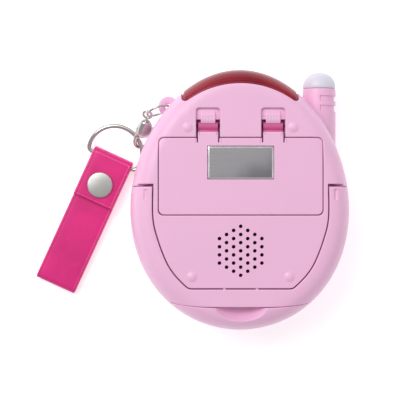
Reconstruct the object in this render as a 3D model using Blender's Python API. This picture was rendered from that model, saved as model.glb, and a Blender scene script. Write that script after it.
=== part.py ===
"""Virtual pet keychain, lying on its face with its strap beside it.

An egg-shaped hand-held toy: two casing halves, a U-shaped fold-out stand, a hinged battery door, a red
infra-red window over the top edge and a stubby aerial. A jump ring and a lobster clasp join it to a
D-ring and a snapped strap. Units are metres, +Z is up, and the back of the toy faces up.
"""

import math

import bmesh
import bpy
from mathutils import Matrix, Vector

MM = 0.001
GAP = 0.3 * MM
FINE_GAP = 0.15 * MM

# Casing: an egg seen from behind. Positions below are from the egg's centre, at table height.
BODY_CENTRE = Vector((17.356, 0.0, 0.0)) * MM
HALF_WIDTH = 37.8 * MM
HALF_LENGTH = 45.0 * MM
EGG_TAPER = 0.08
PARTING_Z = 13.0 * MM
BACK_Z = 27.0 * MM
FACE_Z = 1.2 * MM
RIM_WIDTH = 8.0 * MM
RIM_POWER = 2.6
RIM_ANGLES = (0, 16, 33, 50, 70, 90)
DOME_SCALES = (1.0, 0.99, 0.95, 0.88, 0.76, 0.6, 0.45)
DOME_POWER = 2.6
DOME_FULLNESS = 2.2
CASE_SIDES = 56
FRONT_WALL = 1.8 * MM
BACK_WALL = 5.6 * MM

# Fold-out stand, let into the back
STAND_THICKNESS = 3.2 * MM
STAND_TOP_Y = 4.45 * MM
STAND_SLOT_Y = 5.35 * MM
STAND_BOTTOM_Y = -36.2 * MM
STAND_EDGE_SLANT = 0.15
STAND_LIP_Z = 16.3 * MM
STAND_SWING_ROOM = 1.1 * MM
STAND_AXIS_Y = 2.25 * MM
STAND_AXIS_Z = 25.2 * MM
STAND_INNER = [Vector(p) * MM for p in (
    (29.4, 6.0), (29.4, -6.0), (27.8, -13.2), (25.0, -20.6), (22.2, -25.1), (18.2, -29.2), (16.6, -29.85))]
STAND_PIN_X = (28.45 * MM, 31.0 * MM)
STAND_PIN_RADIUS = 0.7 * MM
STAND_SWING_X = (29.2 * MM, 34.9 * MM)
STAND_SWING_FLOOR_Z = 22.35 * MM
STAND_GROOVE_X = (31.5 * MM, 33.0 * MM)
STAND_GROOVE_Y = (-0.2 * MM, 3.6 * MM)
STAND_GROOVE_Z = 26.2 * MM
STAND_TAB_X = (5.1 * MM, 5.9 * MM)
STAND_TAB_Y = (-30.6 * MM, -30.0 * MM)
STAND_TAB_Z = (25.6 * MM, 26.7 * MM)

# Battery door
DOOR_HALF_WIDTH = 27.6 * MM
DOOR_Y = (-5.0 * MM, 20.85 * MM)
DOOR_THICKNESS = 2.0 * MM
DOOR_CORNER = 1.75 * MM
DOOR_EDGE_SLANT = 0.4
PLATE_HALF_WIDTH = 11.1 * MM
PLATE_Y = (7.0 * MM, 18.05 * MM)
HINGE_X = 11.0 * MM
HINGE_SLOT_HALF = 4.05 * MM
DOOR_AXIS_Y = 25.0 * MM
DOOR_AXIS_Z = 24.2 * MM
BARREL_RADIUS = 1.5 * MM
HINGE_ARM_HALF = 3.4 * MM
HINGE_WELL_Y = (26.0 * MM, 31.0 * MM)
HINGE_WELL_FLOOR_Z = 25.8 * MM
HINGE_WELL_CORNER = 1.1 * MM
HINGE_SLOT_Y = (18.9 * MM, 27.1 * MM)
HINGE_SLOT_FLOOR_Z = 22.3 * MM
HINGE_PIN_RADIUS = 0.6 * MM
KNUCKLE_HALF = 2.5 * MM
KNUCKLE_Y = (25.7 * MM, 31.5 * MM)
KNUCKLE_Z = (25.9 * MM, 26.5 * MM)
PLATE_Z = (26.4 * MM, 27.0 * MM)
PLATE_POCKET_Z = 26.05 * MM

# Speaker grille: a hexagon of holes
SPEAKER_Y = -17.2 * MM
GRILLE_PITCH = 2.75 * MM
GRILLE_HOLE_RADIUS = 0.62 * MM
GRILLE_ROWS = 3

# Top edge
WINDOW_ARC_RADIUS = 31.0 * MM
WINDOW_ARC_Y = 8.35 * MM
WINDOW_HALF_WIDTH = 20.2 * MM
WINDOW_CORNER = 1.5 * MM
WINDOW_LOW_Z = 5.3 * MM
WINDOW_BACK_Z = 8.0 * MM
ABOVE_Z = 32.0 * MM
AERIAL_ROOT_Y = 13.7 * MM
AERIAL_X = 28.4 * MM
AERIAL_Z = 8.1 * MM
AERIAL_RADIUS = 5.6 * MM

# Front: screen and buttons
SCREEN_Y = 5.0 * MM
SCREEN_POWER = 3.4
BEZEL_HALF = (22.0 * MM, 18.0 * MM)
BUTTONS = {"left": (11.4 * MM, -23.4 * MM), "middle": (0.0, -26.8 * MM), "right": (-11.4 * MM, -23.4 * MM)}
BUTTON_RADIUS = 3.4 * MM
SCOOP_Y = -36.0 * MM
SCOOP_HALF = (8.4 * MM, 4.9 * MM, 2.2 * MM)
SCREWS = [Vector(p) * MM for p in ((-17.8, 24.4), (17.8, 24.4), (-16.4, -26.0), (16.4, -26.0))]
PLUG_RADIUS = 1.55 * MM
SPRING_RADIUS = 3.0 * MM
CELL_Z = 19.3 * MM
SCREW_PROFILE = ((0.3, 8.9), (0.75, 9.6), (0.75, 23.6), (1.45, 23.6), (1.45, 24.4))

# Key-ring hardware
EYELET = Vector((-24.7, 32.4, 14.4)) * MM
EYELET_HOLE = 1.05 * MM
EYELET_RADIUS = 3.5 * MM
RING_ANGLE = math.radians(200.7)
RING_RADIUS = 3.95 * MM
RING_WIRE = 0.42 * MM
CLASP_TILT = math.radians(46.0)
CLASP_HEADING = Vector((-0.259, -0.966, 0.0)).normalized()
CLASP_ROLL = math.radians(-30.0)
EYE_RADIUS = 1.5 * MM
EYE_WIRE = 0.42 * MM
HOOK_WIRE = 0.65 * MM
GATE_PIVOT = (2.15 * MM, 7.9 * MM)
GATE_HALF_THICKNESS = 0.5 * MM
D_RING_RADIUS = 9.75 * MM
D_RING_WIRE = 0.8 * MM
D_RING_BAR = 2.9 * MM
D_RING_TILT = math.radians(12.5)

# Strap: its own frame has its origin on the D-ring's bar, U runs down the strap and V across it
BAR_CENTRE = Vector((-45.3, 14.2, 2.5)) * MM
STRAP_DOWN = Vector((-0.4156, -0.9096, 0.0)).normalized()
STRAP_WIDTH = 15.0 * MM
STRAP_THICKNESS = 1.2 * MM
STRAP_END = 49.3 * MM
FLAP_END = 16.4 * MM
SNAP_U = 9.8 * MM
BACK_LAYER_Z = -1.8 * MM
FRONT_LAYER_Z = 0.3 * MM
FLAP_LAYER_Z = 1.8 * MM

PINK = ((0.823, 0.509, 0.716, 1.0), 0.42, 0.0)
PALE_PINK = ((0.70, 0.62, 0.68, 1.0), 0.40, 0.0)
RED = ((0.30, 0.03, 0.06, 1.0), 0.12, 0.0)
STEEL = ((0.45, 0.44, 0.43, 1.0), 0.28, 1.0)
STRAP = ((0.72, 0.05, 0.22, 1.0), 0.30, 0.0)
RUBBER = ((0.75, 0.75, 0.72, 1.0), 0.7, 0.0)
BLACK = ((0.03, 0.03, 0.03, 1.0), 0.5, 0.0)
BOARD = ((0.02, 0.16, 0.07, 1.0), 0.45, 0.0)
GLASS = ((0.55, 0.60, 0.52, 1.0), 0.08, 0.0)
WHITE = ((0.85, 0.85, 0.83, 1.0), 0.4, 0.0)


def clear_scene():
    for thing in list(bpy.data.objects):
        bpy.data.objects.remove(thing, do_unlink=True)


def add_empty(name, location, parent=None):
    empty = bpy.data.objects.new(name, None)
    empty.location = location
    empty.parent = parent
    bpy.context.scene.collection.objects.link(empty)
    return empty


def add_object(name, bm, finish, location=(0, 0, 0), parent=None, frame=None):
    """One named part with its own material; frame turns its mesh before it is placed."""
    bmesh.ops.recalc_face_normals(bm, faces=bm.faces)
    mesh = bpy.data.meshes.new(name)
    bm.to_mesh(mesh)
    bm.free()
    mesh.shade_smooth()
    mesh.set_sharp_from_angle(angle=math.radians(35.0))
    part = bpy.data.objects.new(name, mesh)
    part.parent = parent
    turn = frame.to_4x4() if frame else Matrix.Identity(4)
    part.matrix_local = Matrix.Translation(Vector(location)) @ turn
    bpy.context.scene.collection.objects.link(part)
    if finish:
        colour, roughness, metallic = finish
        material = bpy.data.materials.new(name)
        material.use_nodes = True
        shader = material.node_tree.nodes["Principled BSDF"]
        shader.inputs["Base Color"].default_value = colour
        shader.inputs["Roughness"].default_value = roughness
        shader.inputs["Metallic"].default_value = metallic
        mesh.materials.append(material)
    return part


def apply_tool(part, bm, operation="DIFFERENCE", frame=None, location=(0, 0, 0)):
    """Cuts, joins or intersects the part with another shape, kept as a hidden helper beside it."""
    name = f"{part.name}_tool_{len(part.modifiers) + 1}"
    tool = add_object(name, bm, None, location, part.parent, frame)
    tool.hide_render = True
    tool.display_type = "WIRE"
    boolean = part.modifiers.new(operation.title(), "BOOLEAN")
    boolean.operation = operation
    boolean.solver = "EXACT"
    boolean.object = tool
    return tool


def loft(rings, annular=False):
    """A closed solid through rings with equal point counts. An annular one joins its last ring to its first."""
    bm = bmesh.new()
    order = bm.verts.layers.int.new("order")
    made = bmesh.ops.create_circle(bm, cap_ends=False, segments=len(rings[0]), radius=1.0)
    for index, vert in enumerate(made["verts"]):
        vert[order] = index
        vert.co = rings[0][index]
    first = list(bm.edges)
    edges = first
    for ring in rings[1:]:
        extruded = bmesh.ops.extrude_edge_only(bm, edges=edges)["geom"]
        edges = [item for item in extruded if isinstance(item, bmesh.types.BMEdge)]
        for vert in (item for item in extruded if isinstance(item, bmesh.types.BMVert)):
            vert.co = ring[vert[order]]
    if annular:
        bmesh.ops.bridge_loops(bm, edges=first + edges)
    else:
        bmesh.ops.holes_fill(bm, edges=[edge for edge in bm.edges if edge.is_boundary], sides=0)
    return bm


def level(outline, z):
    return [Vector((point[0], point[1], z)) for point in outline]


def angles(count):
    return [2 * math.pi * index / count for index in range(count)]


def circle(radius, count, centre=(0.0, 0.0)):
    return [(centre[0] + radius * math.cos(a), centre[1] + radius * math.sin(a)) for a in angles(count)]


def oval(half_x, half_y, power, count, centre=(0.0, 0.0)):
    """A superellipse: power 2 is an ellipse and a high power a rectangle with round corners."""
    def along(value, half):
        return math.copysign(abs(value) ** (2 / power), value) * half
    return [(centre[0] + along(math.cos(a), half_x), centre[1] + along(math.sin(a), half_y))
            for a in angles(count)]


def rounded(x, y, radius, steps=3):
    """A rectangle over the ranges x and y with rounded corners."""
    points = []
    corners = ((x[1], y[1], 0), (x[0], y[1], 90), (x[0], y[0], 180), (x[1], y[0], 270))
    for corner_x, corner_y, start in corners:
        side_x = -1 if corner_x == x[1] else 1
        side_y = -1 if corner_y == y[1] else 1
        for step in range(steps + 1):
            turn = math.radians(start + 90 * step / steps)
            points.append((corner_x + side_x * radius + radius * math.cos(turn),
                           corner_y + side_y * radius + radius * math.sin(turn)))
    return points


def prism(outline, low, high):
    return loft([level(outline, low), level(outline, high)])


def box(x, y, z):
    return prism([(x[0], y[0]), (x[1], y[0]), (x[1], y[1]), (x[0], y[1])], z[0], z[1])


def turned(profile, count=24, centre=(0.0, 0.0)):
    """A turned solid from (radius, z) pairs."""
    return loft([level(circle(radius, count, centre), z) for radius, z in profile])


def turned_ring(profile, count=24, centre=(0.0, 0.0)):
    return loft([level(circle(radius, count, centre), z) for radius, z in profile], annular=True)


def sweep(path, section, closed=False, up=Vector((0, 0, 1))):
    """A section of (side, up) pairs carried along a path; up is a direction that the path never takes."""
    rings = []
    count = len(path)
    for index, point in enumerate(path):
        before = path[(index - 1) % count] if closed or index else point
        after = path[(index + 1) % count] if closed or index < count - 1 else point
        along = (after - before).normalized()
        side = along.cross(up).normalized()
        above = side.cross(along)
        rings.append([point + side * a + above * b for a, b in section])
    return loft(rings, annular=closed)


def smooth_path(points, steps):
    """A Catmull-Rom curve through the points."""
    path = []
    ends = [points[0] * 2 - points[1]] + list(points) + [points[-1] * 2 - points[-2]]
    for index in range(1, len(ends) - 2):
        a, b, c, d = ends[index - 1:index + 3]
        for step in range(steps):
            t = step / steps
            path.append(0.5 * (2 * b + (c - a) * t + (2 * a - 5 * b + 4 * c - d) * t * t
                               + (3 * b - a - 3 * c + d) * t ** 3))
    path.append(points[-1].copy())
    return path


def egg(inset=0.0, scale=1.0):
    """The casing's outline, drawn in by inset."""
    points = []
    for a in angles(CASE_SIDES):
        taper = 1 - EGG_TAPER * math.sin(a)
        points.append(((HALF_WIDTH - inset) * scale * math.cos(a) * taper,
                       (HALF_LENGTH - inset) * scale * math.sin(a)))
    return points


def back_rings(inset):
    """Rings of the back, from the parting plane over the rounded rim to the flat."""
    rings = []
    height = BACK_Z - PARTING_Z - inset
    for degrees in RIM_ANGLES:
        a = math.radians(degrees)
        across = 1 - max(math.cos(a), 0.0) ** (2 / RIM_POWER)
        rise = math.sin(a) ** (2 / RIM_POWER)
        rings.append(level(egg(inset + RIM_WIDTH * across), PARTING_Z + height * rise))
    return rings


def front_rings(inset):
    """Rings of the front, from the parting plane down the dome."""
    rings = []
    depth = PARTING_Z - FACE_Z - inset
    for scale in DOME_SCALES:
        drop = (1 - scale ** DOME_POWER) ** (1 / DOME_FULLNESS)
        rings.append(level(egg(inset, scale), PARTING_Z - depth * drop))
    return rings


def shell(rings, inset):
    """A bowl between the outer surface and one drawn in by inset."""
    return loft(rings(0.0)[::-1] + rings(inset))


def stand_outline(gap, top, bottom):
    """The U in plan, its inner line moved out by gap."""
    line = smooth_path(STAND_INNER, 3)
    inner = []
    for index, point in enumerate(line):
        before = line[max(index - 1, 0)]
        after = line[min(index + 1, len(line) - 1)]
        along = (after - before).normalized()
        inner.append(point + Vector((-along.y, along.x)) * gap)
    inner[0].y = top
    inner[-1] = Vector((inner[-1].x, STAND_INNER[-1].y - gap))
    wide = HALF_WIDTH * 1.3
    right = [(p.x, p.y) for p in inner]
    left = [(-p.x, p.y) for p in reversed(inner)]
    return [(-wide, bottom), (wide, bottom), (wide, top)] + right + left + [(-wide, top)]


def stand_region(gap, top, bottom, low):
    """The stand's space in the back, its lower edge leaning up towards the front."""
    high = BACK_Z + 3 * MM
    rings = []
    for z in (low, high):
        rings.append(level(stand_outline(gap, top, bottom + (BACK_Z - z) * STAND_EDGE_SLANT), z))
    return loft(rings)


def along_x(x0, x1, radius, y, z, count=12):
    """A round bar or drill along X."""
    rings = []
    for x in (x0, x1):
        rings.append([Vector((x, y + radius * math.cos(a), z + radius * math.sin(a))) for a in angles(count)])
    return loft(rings)


def sides():
    return (("left", -1), ("right", 1))


def ordered(a, b):
    return (min(a, b), max(a, b))


def make_front_shell(body):
    part = add_object("front_shell", shell(front_rings, FRONT_WALL), PINK, parent=body)
    for centre in SCREWS:
        post = turned([(1.6 * MM, 5.5 * MM), (1.6 * MM, 12.3 * MM)], 12, centre)
        apply_tool(part, post, "UNION")
        apply_tool(part, turned([(0.95 * MM, 8.6 * MM), (0.95 * MM, 14 * MM)], 10, centre))
    opening = oval(BEZEL_HALF[0] + GAP, BEZEL_HALF[1] + GAP, SCREEN_POWER, 40, (0, SCREEN_Y))
    apply_tool(part, prism(opening, -2 * MM, 6 * MM))
    for centre in BUTTONS.values():
        apply_tool(part, turned([(BUTTON_RADIUS + GAP, 0.0), (BUTTON_RADIUS + GAP, 7 * MM)], 24, centre))
    cut_top_edge(part, WINDOW_LOW_Z - GAP, PARTING_Z + 5 * MM)
    apply_tool(part, turned([(1.5 * MM, 6 * MM), (1.5 * MM, 15 * MM)], 12, EYELET))
    return part


def window_outline(gap):
    """Two short sides and a long arc, joined by fillets; the gap keeps the window clear of the casing."""
    side, radius = WINDOW_HALF_WIDTH - gap, WINDOW_ARC_RADIUS + gap
    corner_x = side - WINDOW_CORNER
    corner_y = WINDOW_ARC_Y + math.sqrt((radius + WINDOW_CORNER) ** 2 - corner_x ** 2)
    meet = math.atan2(corner_x, corner_y - WINDOW_ARC_Y)
    right = [(side, HALF_LENGTH * 1.3)]
    for step in range(4):
        a = -(math.pi / 2 + meet) * step / 3
        right.append((corner_x + WINDOW_CORNER * math.cos(a), corner_y + WINDOW_CORNER * math.sin(a)))
    for step in range(1, 10):
        a = meet * (1 - step / 9)
        right.append((radius * math.sin(a), WINDOW_ARC_Y + radius * math.cos(a)))
    return right + [(-x, y) for x, y in right[-2::-1]]


def cut_top_edge(part, low, high):
    """Room for the infra-red window and for the aerial's root."""
    apply_tool(part, prism(window_outline(0.0), low, high))
    aerial = [Vector((AERIAL_X + (AERIAL_RADIUS + GAP) * math.cos(a), AERIAL_ROOT_Y,
                      AERIAL_Z + (AERIAL_RADIUS + GAP) * math.sin(a))) for a in angles(28)]
    apply_tool(part, loft([aerial, [p + Vector((0, 40 * MM, 0)) for p in aerial]]))


def make_back_shell(body):
    part = add_object("back_shell", shell(back_rings, BACK_WALL), PINK, parent=body)
    part.location.z = FINE_GAP
    recess = apply_tool(part, shell_between(-2 * MM, STAND_THICKNESS + STAND_SWING_ROOM))
    apply_tool(recess, stand_region(0.0, STAND_SLOT_Y, STAND_BOTTOM_Y - 0.4 * MM, STAND_LIP_Z - 0.6 * MM),
               "INTERSECT")
    for _, side in sides():
        swing = ordered(side * STAND_SWING_X[0], side * STAND_SWING_X[1])
        apply_tool(part, box(swing, (-0.5 * MM, STAND_SLOT_Y), (STAND_SWING_FLOOR_Z, ABOVE_Z)))
        pin = ordered(side * STAND_PIN_X[0], side * (STAND_PIN_X[1] + 2 * MM))
        apply_tool(part, along_x(pin[0], pin[1], STAND_PIN_RADIUS + FINE_GAP, STAND_AXIS_Y, STAND_AXIS_Z))
    door_x = (-DOOR_HALF_WIDTH - GAP, DOOR_HALF_WIDTH + GAP)
    door_y = (DOOR_Y[0] - GAP, DOOR_Y[1] + GAP)
    bed = apply_tool(part, shell_between(-2 * MM, DOOR_THICKNESS + GAP))
    apply_tool(bed, prism(rounded(door_x, door_y, DOOR_CORNER), 18 * MM, 30 * MM), "INTERSECT")
    apply_tool(part, box((-24.2 * MM, 24.2 * MM), (-3.2 * MM, 19.2 * MM), (18 * MM, 26 * MM)))
    apply_tool(part, box((-25.6 * MM, 25.6 * MM), (-4.7 * MM, 20.7 * MM), (12 * MM, 21.3 * MM)))
    for _, side in sides():
        low, high = side * HINGE_X - HINGE_SLOT_HALF, side * HINGE_X + HINGE_SLOT_HALF
        well = rounded((low, high), HINGE_WELL_Y, HINGE_WELL_CORNER)
        apply_tool(part, prism(well, HINGE_WELL_FLOOR_Z, ABOVE_Z))
        apply_tool(part, box((low, high), HINGE_SLOT_Y, (HINGE_SLOT_FLOOR_Z, ABOVE_Z)))
        knuckle = box((side * HINGE_X - KNUCKLE_HALF, side * HINGE_X + KNUCKLE_HALF), KNUCKLE_Y, KNUCKLE_Z)
        apply_tool(part, knuckle, "UNION")
        for end in (-1, 1):
            x = ordered(side * HINGE_X + end * 3.9 * MM, side * HINGE_X + end * 5.0 * MM)
            apply_tool(part, along_x(x[0], x[1], 0.85 * MM, DOOR_AXIS_Y, DOOR_AXIS_Z))
    apply_tool(part, turned([(11.3 * MM, 15 * MM), (11.3 * MM, 25.2 * MM)], 32, (0, SPEAKER_Y)))
    for centre in grille_centres():
        apply_tool(part, turned([(GRILLE_HOLE_RADIUS, 24 * MM), (GRILLE_HOLE_RADIUS, 29 * MM)], 6, centre))
    for centre in SCREWS:
        apply_tool(part, turned([(1.0 * MM, 15 * MM), (1.0 * MM, 23.4 * MM), (1.7 * MM, 23.4 * MM),
                                 (1.7 * MM, 29 * MM)], 12, centre))
    cut_top_edge(part, WINDOW_BACK_Z, ABOVE_Z)
    apply_tool(part, turned([(1.6 * MM, 15.7 * MM), (1.6 * MM, 24 * MM)], 12, EYELET))
    apply_tool(part, turned([(EYELET_RADIUS, 13.2 * MM), (EYELET_RADIUS, 15.6 * MM)], 20, EYELET), "UNION")
    apply_tool(part, turned([(EYELET_HOLE, 12 * MM), (EYELET_HOLE, 17 * MM)], 12, EYELET))
    scoop = bmesh.new()
    bmesh.ops.create_uvsphere(scoop, u_segments=16, v_segments=8, radius=1.0)
    bmesh.ops.scale(scoop, verts=scoop.verts, vec=SCOOP_HALF)
    apply_tool(part, scoop, location=(0, SCOOP_Y, BACK_Z))
    return part


def shell_between(outer, inner):
    """The band of the back from outer to inner, used as a cutter that follows the surface."""
    return loft(back_rings(outer)[::-1] + back_rings(inner))


def grille_centres():
    """A hexagon of holes, each column half a pitch from its neighbour."""
    centres = []
    for column in range(-GRILLE_ROWS, GRILLE_ROWS + 1):
        count = 2 * GRILLE_ROWS + 1 - abs(column)
        x = column * GRILLE_PITCH * math.sqrt(3) / 2
        for row in range(count):
            centres.append((x, SPEAKER_Y + (row - (count - 1) / 2) * GRILLE_PITCH))
    return centres


def make_stand(body):
    axis = add_empty("stand_axis", (0, STAND_AXIS_Y, STAND_AXIS_Z), body)
    back = (0, -STAND_AXIS_Y, -STAND_AXIS_Z)
    part = add_object("rear_stand", shell(back_rings, STAND_THICKNESS), PINK, back, axis)
    tools = [(stand_region(0.4 * MM, STAND_TOP_Y, STAND_BOTTOM_Y, STAND_LIP_Z), "INTERSECT")]
    for _, side in sides():
        pin = ordered(side * 28 * MM, side * (STAND_PIN_X[1] + GAP))
        hole = along_x(pin[0], pin[1], STAND_PIN_RADIUS + FINE_GAP, STAND_AXIS_Y, STAND_AXIS_Z)
        tools.append((hole, "DIFFERENCE"))
        groove_x = ordered(side * STAND_GROOVE_X[0], side * STAND_GROOVE_X[1])
        groove = box(groove_x, STAND_GROOVE_Y, (STAND_GROOVE_Z, ABOVE_Z))
        tools.append((groove, "DIFFERENCE"))
        tab = box(ordered(side * STAND_TAB_X[0], side * STAND_TAB_X[1]), STAND_TAB_Y, STAND_TAB_Z)
        tools.append((tab, "UNION"))
    for shape, operation in tools:
        apply_tool(part, shape, operation, location=back)
    for name, side in sides():
        x = ordered(side * STAND_PIN_X[0] + side * FINE_GAP, side * STAND_PIN_X[1])
        add_object(f"stand_pivot_{name}", along_x(x[0], x[1], STAND_PIN_RADIUS, STAND_AXIS_Y, STAND_AXIS_Z),
                   STEEL, parent=body)


def make_door(body):
    axis = add_empty("door_axis", (0, DOOR_AXIS_Y, DOOR_AXIS_Z), body)
    back = (0, -DOOR_AXIS_Y, -DOOR_AXIS_Z)
    part = add_object("battery_door", shell(back_rings, DOOR_THICKNESS), PINK, back, axis)
    part.location.z += FINE_GAP
    x = (-DOOR_HALF_WIDTH, DOOR_HALF_WIDTH)
    rings = []
    for z in (18 * MM, 30 * MM):
        rear_edge = DOOR_Y[1] - (BACK_Z - z) * DOOR_EDGE_SLANT
        rings.append(level(rounded(x, (DOOR_Y[0], rear_edge), DOOR_CORNER), z))
    apply_tool(part, loft(rings), "INTERSECT", location=back)
    for _, side in sides():
        low, high = side * HINGE_X - HINGE_ARM_HALF, side * HINGE_X + HINGE_ARM_HALF
        arm = box((low, high), (19.5 * MM, DOOR_AXIS_Y), (DOOR_AXIS_Z - 1.3 * MM, DOOR_AXIS_Z + 0.9 * MM))
        tab = box((low, high), (19.8 * MM, 22.9 * MM), (DOOR_AXIS_Z + 0.2 * MM, DOOR_AXIS_Z + 1.9 * MM))
        apply_tool(part, tab, "UNION", location=back)
        apply_tool(part, arm, "UNION", location=back)
        apply_tool(part, along_x(low, high, BARREL_RADIUS, DOOR_AXIS_Y, DOOR_AXIS_Z, 16), "UNION", location=back)
        apply_tool(part, along_x(low - MM, high + MM, 0.8 * MM, DOOR_AXIS_Y, DOOR_AXIS_Z), location=back)
    plate_x = (-PLATE_HALF_WIDTH, PLATE_HALF_WIDTH)
    pocket_x = (plate_x[0] - FINE_GAP, plate_x[1] + FINE_GAP)
    pocket_y = (PLATE_Y[0] - FINE_GAP, PLATE_Y[1] + FINE_GAP)
    apply_tool(part, box(pocket_x, pocket_y, (PLATE_POCKET_Z, ABOVE_Z)), location=back)
    plate = prism(rounded(plate_x, PLATE_Y, 0.5 * MM), PLATE_Z[0], PLATE_Z[1])
    add_object("door_plate", plate, STEEL, back, axis)
    for name, side in sides():
        x = (side * HINGE_X - 4.85 * MM, side * HINGE_X + 4.85 * MM)
        pin = along_x(x[0], x[1], HINGE_PIN_RADIUS, DOOR_AXIS_Y, DOOR_AXIS_Z)
        add_object(f"hinge_pin_{name}", pin, STEEL, parent=body)


def make_top_edge(body):
    whole_egg = loft(back_rings(0.0)[::-1] + front_rings(0.0)[1:])
    window = add_object("infrared_window", whole_egg, RED, parent=body)
    apply_tool(window, prism(window_outline(GAP), WINDOW_LOW_Z, ABOVE_Z), "INTERSECT")
    stem_profile = [(5.3, 14.0), (5.6, 15.0), (5.6, 30.6), (4.9, 31.1), (4.9, 32.4), (5.6, 32.9), (5.6, 34.2),
                    (4.9, 34.7), (4.9, 36.2), (5.5, 36.6), (5.3, 37.4)]
    tip_profile = [(4.6, 37.7), (5.4, 38.2), (5.6, 39.4), (5.3, 41.6), (4.4, 43.2), (2.9, 44.3), (1.2, 44.8)]
    upright = Matrix.Rotation(math.radians(-90.0), 3, "X")
    for name, profile, finish in (("aerial_stem", stem_profile, PINK), ("aerial_tip", tip_profile, PALE_PINK)):
        bm = turned([(radius * MM, z * MM) for radius, z in profile], 20)
        add_object(name, bm, finish, (AERIAL_X, 0, AERIAL_Z), body, upright)


def make_front(body):
    centre = (0, SCREEN_Y)
    half_x, half_y = BEZEL_HALF
    sizes = ((0.8, 0.0), (0.0, 0.9), (0.0, 4.4), (2.8, 4.4), (2.8, 0.6), (2.4, 0.0))
    rings = []
    for inset, z in sizes:
        rings.append(level(oval(half_x - inset * MM, half_y - inset * MM, SCREEN_POWER, 40, centre), z * MM))
    add_object("screen_surround", loft(rings, annular=True), WHITE, parent=body)
    lens = oval(half_x - 3.0 * MM, half_y - 3.0 * MM, SCREEN_POWER, 32, centre)
    add_object("screen_lens", prism(lens, 1.0 * MM, 2.2 * MM), GLASS, parent=body)
    add_object("lcd_glass", box((-15 * MM, 15 * MM), (SCREEN_Y - 12 * MM, SCREEN_Y + 12 * MM),
                                (2.6 * MM, 4.4 * MM)), GLASS, parent=body)
    rings = []
    for inset, z in ((0.0, 4.8), (0.0, 7.6), (2.0, 7.6), (2.0, 4.8)):
        x = (-17 * MM + inset * MM, 17 * MM - inset * MM)
        y = (SCREEN_Y - 14 * MM + inset * MM, SCREEN_Y + 14 * MM - inset * MM)
        rings.append(level(rounded(x, y, 1.0 * MM, 1), z * MM))
    add_object("lcd_holder", loft(rings, annular=True), WHITE, parent=body)
    add_object("lcd_connector", box((-13 * MM, 13 * MM), (SCREEN_Y - 11 * MM, SCREEN_Y - 8.6 * MM),
                                    (4.7 * MM, 8.7 * MM)), RUBBER, parent=body)
    board = add_object("circuit_board", prism(rounded((-20 * MM, 20 * MM), (-31 * MM, 22 * MM), 8 * MM),
                                              9.0 * MM, 10.2 * MM), BOARD, parent=body)
    for centre in SCREWS[2:]:
        apply_tool(board, turned([(1.95 * MM, 8 * MM), (1.95 * MM, 12 * MM)], 12, centre))
    add_object("potted_controller", turned([(5.0 * MM, 10.4 * MM), (4.3 * MM, 11.3 * MM), (2.4 * MM, 11.9 * MM)],
                                           20, (0, -16 * MM)), BLACK, parent=body)
    add_object("infrared_module", box((-4 * MM, 4 * MM), (34.5 * MM, 37.4 * MM), (9 * MM, 13 * MM)), BLACK,
               parent=body)
    mat = prism(rounded((-14.2 * MM, 14.2 * MM), (-30 * MM, -20 * MM), 3 * MM), 7.8 * MM, 8.7 * MM)
    add_object("button_mat", mat, RUBBER, parent=body)
    for name, (x, y) in BUTTONS.items():
        axis = add_empty(f"button_axis_{name}", (x, y, 0), body)
        profile = [(2.4, 1.5), (3.2, 1.7), (3.4, 2.3), (3.4, 6.2), (3.8, 6.2), (3.8, 6.8)]
        bm = turned([(radius * MM, z * MM) for radius, z in profile], 24)
        add_object(f"button_{name}", bm, WHITE, parent=axis)


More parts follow.
